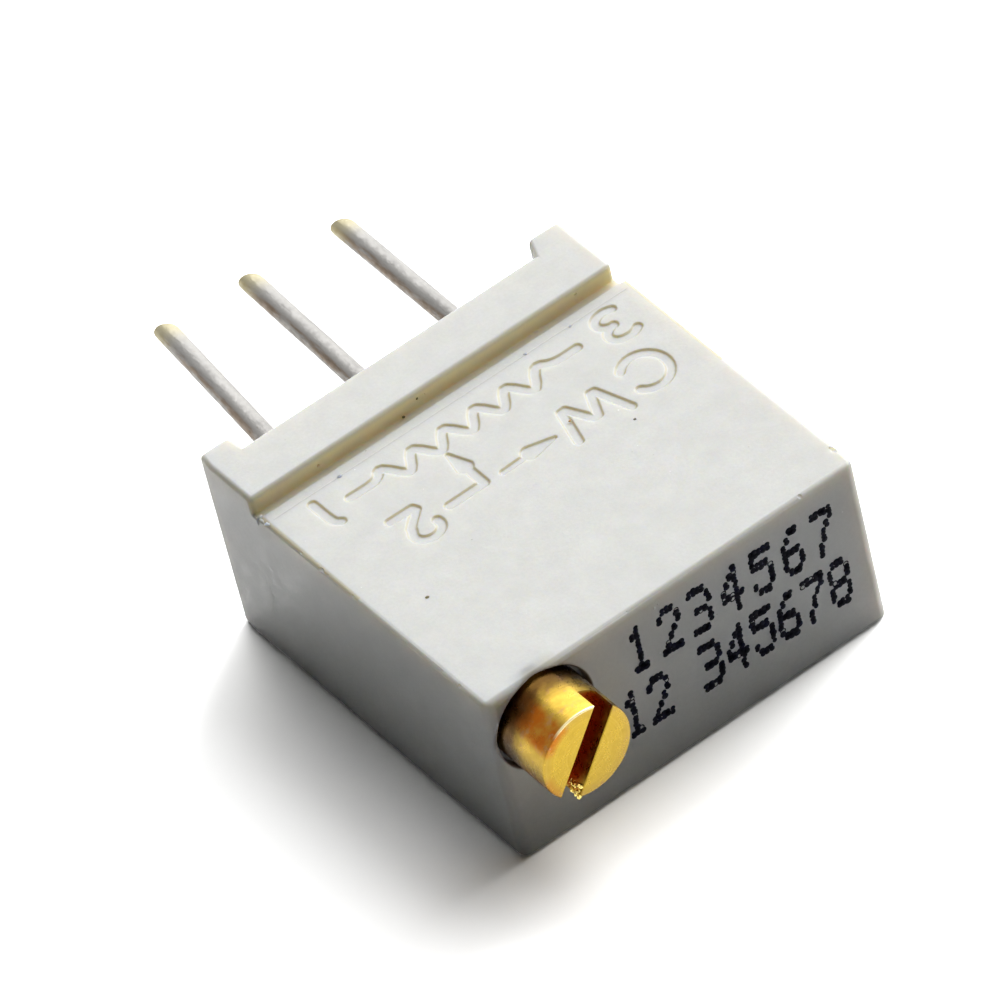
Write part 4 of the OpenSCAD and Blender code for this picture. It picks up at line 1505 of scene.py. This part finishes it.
@dataclass
class TerminalWire:
    """One tinned wire: soldered straight run, a small bend at the face, and a slanted cut tip."""

    name: str
    box: NodeBox
    base_y: float
    wire_x: float
    row_z: float
    lean_degrees: float
    free_length: float
    wire_d: float = 0.5
    tip_degrees: float = 28.0
    bend: float = 0.30
    bend_steps: int = 6
    unevenness: float = 0.006
    sides: int = 32
    end_break: float = 0.02
    waver_scale: float = 6.0
    crease: float = 40.0

    def build(self, material: Material) -> None:
        """Builds and dresses the wire.

        Args:
            material: The tinned wire.
        """
        shape = bmesh.new()
        rings = [self.ring(shape, *station) for station in self.stations()]
        sheet = shape.loops.layers.uv.new("around")
        for level, (low, high) in enumerate(zip(rings, rings[1:])):
            for side in range(self.sides):
                after = (side + 1) % self.sides
                face = shape.faces.new((low[side], low[after], high[after], high[side]))
                turns = (side, side + 1, side + 1, side)
                for loop, turn, row in zip(face.loops, turns, (level, level, level + 1, level + 1)):
                    loop[sheet].uv = (turn / self.sides, row / len(rings))
        shape.faces.new(rings[0])
        shape.faces.new(list(reversed(rings[-1])))
        bmesh.ops.recalc_face_normals(shape, faces=shape.faces)
        piece = object_from(shape, f"{self.name}_wire")
        finish_piece(piece, material, "body", self.crease)
        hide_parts(self.name)

    def stations(self) -> list[tuple[Vector, float, float, float]]:
        """Lists the rings from the inner end to the tip.

        Returns:
            Centre, heading in radians, radius, and slant in radians of each ring.
        """
        radius, slant, lean = self.wire_d / 2, math.radians(self.tip_degrees), math.radians(self.lean_degrees)
        start = Vector((self.wire_x, self.box.low.y, self.row_z))
        made = [(start, 0.0, radius - self.end_break, 0.0),
                (start + Vector((0, self.end_break, 0)), 0.0, radius, 0.0)]
        place = Vector((self.wire_x, self.base_y - self.bend / 2 * math.cos(lean / 2), self.row_z))
        for step in range(self.bend_steps + 1):
            heading = lean * step / self.bend_steps
            made.append((place.copy(), heading, radius, 0.0))
            place += Vector((math.sin(heading), math.cos(heading), 0)) * self.bend / self.bend_steps
        way = Vector((math.sin(lean), math.cos(lean), 0))
        root = Vector((self.wire_x, self.base_y, self.row_z))
        middle = self.free_length - radius * math.tan(slant)
        for share in (0.15, 0.3, 0.45, 0.6, 0.75, 0.9):
            away = Vector((self.waver(share, 0), 0, self.waver(share, 7)))
            swell = 1 + self.waver(share, 3)
            made.append((root + way * (middle * share) + away, lean, radius * swell, 0.0))
        for back, shrink, tilt in ((0.16, 0.0, 0.55), (0.05, 0.002, 1.0),
                                   (0.018, 0.008, 1.0), (0.0, 0.030, 1.0)):
            made.append((root + way * (middle - back), lean, radius - shrink, slant * tilt))
        return made

    def waver(self, share: float, seed: int) -> float:
        """Gives the small unevenness of the dipped wire at a share of its length."""
        return self.unevenness * noise.noise(Vector((share * self.waver_scale, self.wire_x, seed)))

    def ring(self, shape: Shape, centre: Vector, heading: float, radius: float,
             slant: float) -> list[bmesh.types.BMVert]:
        """Adds one ring of points.

        Args:
            shape: Bmesh to add to.
            centre: Centre of the ring.
            heading: Lean of the wire here, in radians.
            radius: Radius of the ring.
            slant: Slant of the ring, in radians.

        Returns:
            The ring's points.
        """
        across = Vector((math.cos(heading), -math.sin(heading), 0))
        along = Vector((math.sin(heading), math.cos(heading), 0))
        points = []
        for side in range(self.sides):
            turn = math.tau * side / self.sides
            reach, rise = radius * math.cos(turn), Vector((0, 0, radius * math.sin(turn)))
            points.append(shape.verts.new(centre + (across * reach - along * reach * math.tan(slant) + rise)))
        return points


@dataclass
class BaseSeal:
    """Potting resin that closes the hollow, drawn up along the walls and the wires."""

    box: NodeBox
    wires: Triple
    row_z: float
    wire_r: float = 0.25
    gap: float = 0.002
    draw: float = 0.045
    reach: float = 0.16
    cells_x: int = 96
    cells_z: int = 44
    waver: float = 0.18
    waver_scale: float = 0.9
    least: float = 0.15
    crease: float = 40.0

    def build(self, material: Material) -> None:
        """Builds and dresses the resin.

        Args:
            material: The resin.
        """
        low, high, gap = self.box.low, self.box.high, self.gap
        shape = block((low.x + gap, low.y, low.z + gap), (high.x - gap, high.y, high.z - gap))
        for axis, cells in ((0, self.cells_x), (2, self.cells_z)):
            span = high[axis] - low[axis] - 2 * gap
            for index in range(1, cells):
                face_parts = [face for face in shape.faces if face.normal.y > LEVEL_NORMAL]
                bisect(shape, axis, low[axis] + gap + span * index / cells, face_parts)
        for corner in shape.verts:
            if corner.co.y > high.y - TOUCH:
                corner.co.y = high.y - self.draw * (1 - self.pull(corner.co))
        piece = object_from(shape, "potting_resin")
        finish_piece(piece, material, "body", self.crease, False)
        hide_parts("base_seal")

    def pull(self, spot: Vector) -> float:
        """Says how far the resin is drawn up at a place.

        Args:
            spot: Point of the resin's face.

        Returns:
            Share between 0 and 1.
        """
        low, high = self.box.low, self.box.high
        walls = min(spot.x - low.x, high.x - spot.x, spot.z - low.z, high.z - spot.z)
        wires = min(math.hypot(spot.x - x, spot.z - self.row_z) for x in self.wires) - self.wire_r
        near = max(0.0, min(walls, wires))
        place = Vector((spot.x * self.waver_scale, spot.z * self.waver_scale, 5.0))
        uneven = self.waver * noise.noise(place)
        return min(1.0, max(0.0, math.exp(-near / self.reach) + self.least + uneven))


# ---------------------------------------------------------------- dirt


@dataclass(frozen=True)
class Crumb:
    """A small lump that sits on a face."""

    place: Triple
    size: Triple


@dataclass
class LooseDirt:
    """Small crumbs of one kind that cling to the housing."""

    name: str
    crumbs: tuple[Crumb, ...]
    seed: int
    rough_scale: float = 1.6
    rough_share: float = 0.45
    most_turn: float = 0.5
    crease: float = 60.0

    def build(self, material: Material) -> None:
        """Builds and dresses the crumbs.

        Args:
            material: Their material.
        """
        rolls = random.Random(self.seed)
        shape = bmesh.new()
        for crumb in self.crumbs:
            ball = bmesh.new()
            bmesh.ops.create_icosphere(ball, subdivisions=2, radius=1.0)
            for corner in ball.verts:
                away = Vector((rolls.random(), self.seed, 0)) * 3
                rough = noise.noise(corner.co * self.rough_scale + away)
                corner.co *= 1 + self.rough_share * rough
            bmesh.ops.scale(ball, vec=crumb.size, verts=ball.verts)
            turn = Matrix.Rotation(rolls.uniform(-self.most_turn, self.most_turn), 3, "Z")
            bmesh.ops.rotate(ball, matrix=turn, verts=ball.verts)
            bmesh.ops.translate(ball, vec=crumb.place, verts=ball.verts)
            append_shape(shape, ball)
        finish_piece(object_from(shape, self.name), material, "body", self.crease, False)


# ---------------------------------------------------------------- studio


@dataclass(frozen=True)
class Lamp:
    """A broad sun, by where it stands."""

    name: str
    azimuth: float
    elevation: float
    spread: float
    level: float

    def hang(self) -> None:
        """Adds the lamp to the scene."""
        light = bpy.data.lights.new(self.name, "SUN")
        light.energy = self.level * math.pi
        light.angle = math.radians(self.spread)
        holder = bpy.data.objects.new(self.name, light)
        turn, rise = math.radians(self.azimuth), math.radians(self.elevation)
        way = Vector((math.cos(turn) * math.cos(rise), math.sin(turn) * math.cos(rise), math.sin(rise)))
        holder.rotation_mode = "QUATERNION"
        holder.rotation_quaternion = way.to_track_quat("Z", "Y")
        bpy.context.scene.collection.objects.link(holder)


@dataclass
class Studio:
    """Pale floor, soft lamps, plain surroundings and the camera."""

    azimuth: float = -26.516
    elevation: float = 43.491
    roll: float = -14.479
    target: Triple = (0.006, 1.804, 2.4)
    distance: float = 222.44
    lens: float = 386.56
    sensor: float = 36.0
    clip: Point = (0.01, 10.0)
    floor_size: float = 4000.0
    floor_drop: float = 0.004
    floor_tone: Colour = (0.93, 0.93, 0.925)
    floor_extra: float = 0.8
    floor_bounce: float = 0.28
    floor_grain: float = 3.0
    grain_shares: Point = (0.985, 1.0)
    sky_level: float = 0.01
    lamps: tuple[Lamp, ...] = (
        Lamp("low_window", 18.0, 30.0, 40.0, 0.80),
        Lamp("high_window", 60.0, 50.0, 40.0, 0.42),
        Lamp("side_window", 0.0, 50.0, 40.0, 0.24),
    )

    def build(self) -> None:
        """Sets up the whole studio."""
        self.floor()
        for lamp in self.lamps:
            lamp.hang()
        self.surroundings()
        self.camera()
        bpy.context.scene.view_settings.view_transform = "Standard"

    @staticmethod
    def direct_view(pen: NodePen) -> Socket:
        """Masks the rays that come from the camera, from a reflection or through a material.

        Args:
            pen: Pen of the material or world.

        Returns:
            The mask.
        """
        path = pen.add("LightPath")
        seen = pen.maths("MAXIMUM", path.outputs["Is Camera Ray"], path.outputs["Is Glossy Ray"])
        return pen.maths("MAXIMUM", seen, path.outputs["Is Transmission Ray"])

    def floor(self) -> None:
        """Lays a pale floor under the part, which looks white and keeps the part's shadow."""
        shape = bmesh.new()
        bmesh.ops.create_grid(shape, x_segments=1, y_segments=1, size=self.floor_size)
        floor = object_from(shape, "floor")
        floor.data.transform(Matrix.Translation((0, 0, -self.floor_drop)))
        floor.data.transform(Matrix.Scale(MM, 4))
        material, pen = named_material("pale_floor")
        grain = pen.grain(pen.millimetres(), self.floor_grain)

        def matt(level: float) -> Socket:
            """Makes a matt shader of the floor's tone at a level."""
            tone = pen.blend(grain, *(scaled(self.floor_tone, share * level) for share in self.grain_shares))
            return pen.add("BsdfDiffuse", {"Color": tone}).outputs[0]

        plain, extra, bounce = (matt(level) for level in (1.0, self.floor_extra, self.floor_bounce))
        bright = pen.add("AddShader", {0: plain, 1: extra}).outputs[0]
        bright = pen.add("AddShader", {0: plain, 1: bright}).outputs[0]
        pen.surface(pen.add("MixShader", {0: self.direct_view(pen), 1: bounce, 2: bright}).outputs[0])
        floor.data.materials.append(material)

    def surroundings(self) -> None:
        """Surrounds the scene with plain white that lights the part only faintly."""
        world = bpy.data.worlds.new("surroundings")
        bpy.context.scene.world = world
        pen = NodePen(world)
        faint, white = (pen.add("Background", {"Color": (1.0, 1.0, 1.0, 1.0), "Strength": level}).outputs[0]
                        for level in (self.sky_level, 1.0))
        mixed = pen.add("MixShader", {0: self.direct_view(pen), 1: faint, 2: white}).outputs[0]
        pen.tree.links.new(mixed, pen.add("OutputWorld").inputs["Surface"])

    def camera(self) -> None:
        """Places the camera at its azimuth, elevation and roll about the target."""
        azimuth, elevation, roll = (math.radians(a) for a in (self.azimuth, self.elevation, self.roll))
        back = Vector((math.sin(azimuth) * math.cos(elevation), -math.cos(azimuth) * math.cos(elevation),
                       math.sin(elevation)))
        right = (-back).cross(Vector((0, 0, 1))).normalized()
        up = right.cross(-back)
        right_rolled = math.cos(roll) * right + math.sin(roll) * up
        up_rolled = -math.sin(roll) * right + math.cos(roll) * up
        lens = bpy.data.cameras.new("camera")
        lens.lens, lens.sensor_width = self.lens, self.sensor
        lens.clip_start, lens.clip_end = self.clip
        holder = bpy.data.objects.new("camera", lens)
        turn = Matrix((right_rolled, up_rolled, back)).transposed()
        place = (Vector(self.target) + back * self.distance) * MM
        holder.matrix_world = Matrix.Translation(place) @ turn.to_4x4()
        bpy.context.scene.collection.objects.link(holder)
        bpy.context.scene.camera = holder


# ---------------------------------------------------------------- whole part


@dataclass
class Trimmer:
    """The whole potentiometer, built from its frame's boxes."""

    wire_x: Triple = (-2.54, 0.0, 2.54)
    row_z: float = 2.41
    leans: Triple = (5.3, 2.0, 0.6)
    free_lengths: Triple = (6.67, 6.53, 6.41)

    def build(self) -> None:
        """Builds and dresses every visible piece and dresses the inner ones."""
        screw, retainer = NodeBox.of("adjusting_screw"), NodeBox.of("screw_retainer")
        shell, seal, substrate = (NodeBox.of(name) for name in ("housing", "base_seal", "substrate"))
        housing = Housing(shell, seal, substrate, retainer, screw)
        plastic = MouldedPlastic(housing.front_y, housing.collar_y, housing.top_z, housing.recess_r).make()
        housing.build(plastic)
        flow = GrainyFinish("flow_line", (0.71, 0.71, 0.69), 0.05, 9.0, 0.5).make()
        WitnessLine(face_z=housing.top_z, front_y=housing.front_y).build(flow)
        InkPrint(front_y=housing.front_y).build(PrintingInk().make())
        turned = AdjustingScrew(screw, retainer)
        brass = TurnedBrass(turned.axis).make()
        fresh = GrainyFinish("fresh_brass", (0.86, 0.66, 0.20), 0.25, 14.0, 0.24, 1.0, 0.5).make()
        turned.build(brass, fresh, housing.front_y)
        wire = TinnedWire().make()
        for index, (x, lean, length) in enumerate(zip(self.wire_x, self.leans, self.free_lengths), 1):
            name = f"terminal_{index}"
            TerminalWire(name, NodeBox.of(name), housing.base_y, x, self.row_z, lean, length).build(wire)
        resin = GrainyFinish("potting_resin", (0.56, 0.52, 0.43), 0.06, 1.6, 0.32, 0.0, 0.15).make()
        BaseSeal(housing.seal, self.wire_x, self.row_z).build(resin)
        self.dirty(housing, plastic)
        for finish in InnerFinish:
            finish.dress()

    @staticmethod
    def dirty(housing: Housing, plastic: Material) -> None:
        """Puts the crumbs and flash where they cling.

        Args:
            housing: The built housing.
            plastic: The housing's plastic.
        """
        front, top, wall = housing.front_y, housing.top_z, housing.collar_y
        edge = -housing.wall_x(front + 7.8)
        dark = (Crumb((-3.71, front + 3.43, top), (0.05, 0.035, 0.012)),
                Crumb((2.37, front + 4.38, top), (0.035, 0.03, 0.012)),
                Crumb((-0.92, wall - 0.03, top - 0.03), (0.035, 0.03, 0.03)),
                Crumb((-0.50, wall, top + 0.18), (0.03, 0.02, 0.03)))
        amber = (Crumb((1.40, front + 5.35, top), (0.03, 0.028, 0.012)),)
        pale = (Crumb((edge + 0.03, front + 7.62, top - 0.02), (0.06, 0.07, 0.035)),
                Crumb((edge + 0.02, front + 7.80, top - 0.05), (0.05, 0.09, 0.05)),
                Crumb((edge + 0.06, front + 7.95, top - 0.06), (0.08, 0.06, 0.05)),
                Crumb((edge + 0.01, front + 7.96, top - 0.16), (0.04, 0.05, 0.08)),
                Crumb((-0.50, front, top - 0.32), (0.05, 0.012, 0.04)),
                Crumb((-0.42, front, top - 0.27), (0.03, 0.010, 0.025)),
                Crumb((-2.90, front + 7.62, top), (0.06, 0.04, 0.014)),
                Crumb((1.95, front + 7.64, top), (0.05, 0.035, 0.014)),
                Crumb((3.10, front + 7.60, top), (0.04, 0.03, 0.014)))
        olive = GrainyFinish("olive_dirt", (0.16, 0.14, 0.07), 0.4, 20.0, 0.7).make()
        orange = GrainyFinish("amber_dirt", (0.45, 0.22, 0.06), 0.3, 20.0, 0.6).make()
        LooseDirt("dark_crumbs", dark, 3).build(olive)
        LooseDirt("amber_crumb", amber, 5).build(orange)
        LooseDirt("moulding_flash", pale, 9).build(plastic)


def main() -> None:
    """Builds the studio and the part."""
    logging.basicConfig(level=logging.INFO, format="%(message)s")
    Studio().build()
    Trimmer().build()
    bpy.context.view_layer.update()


if __name__ == "__main__":
    main()
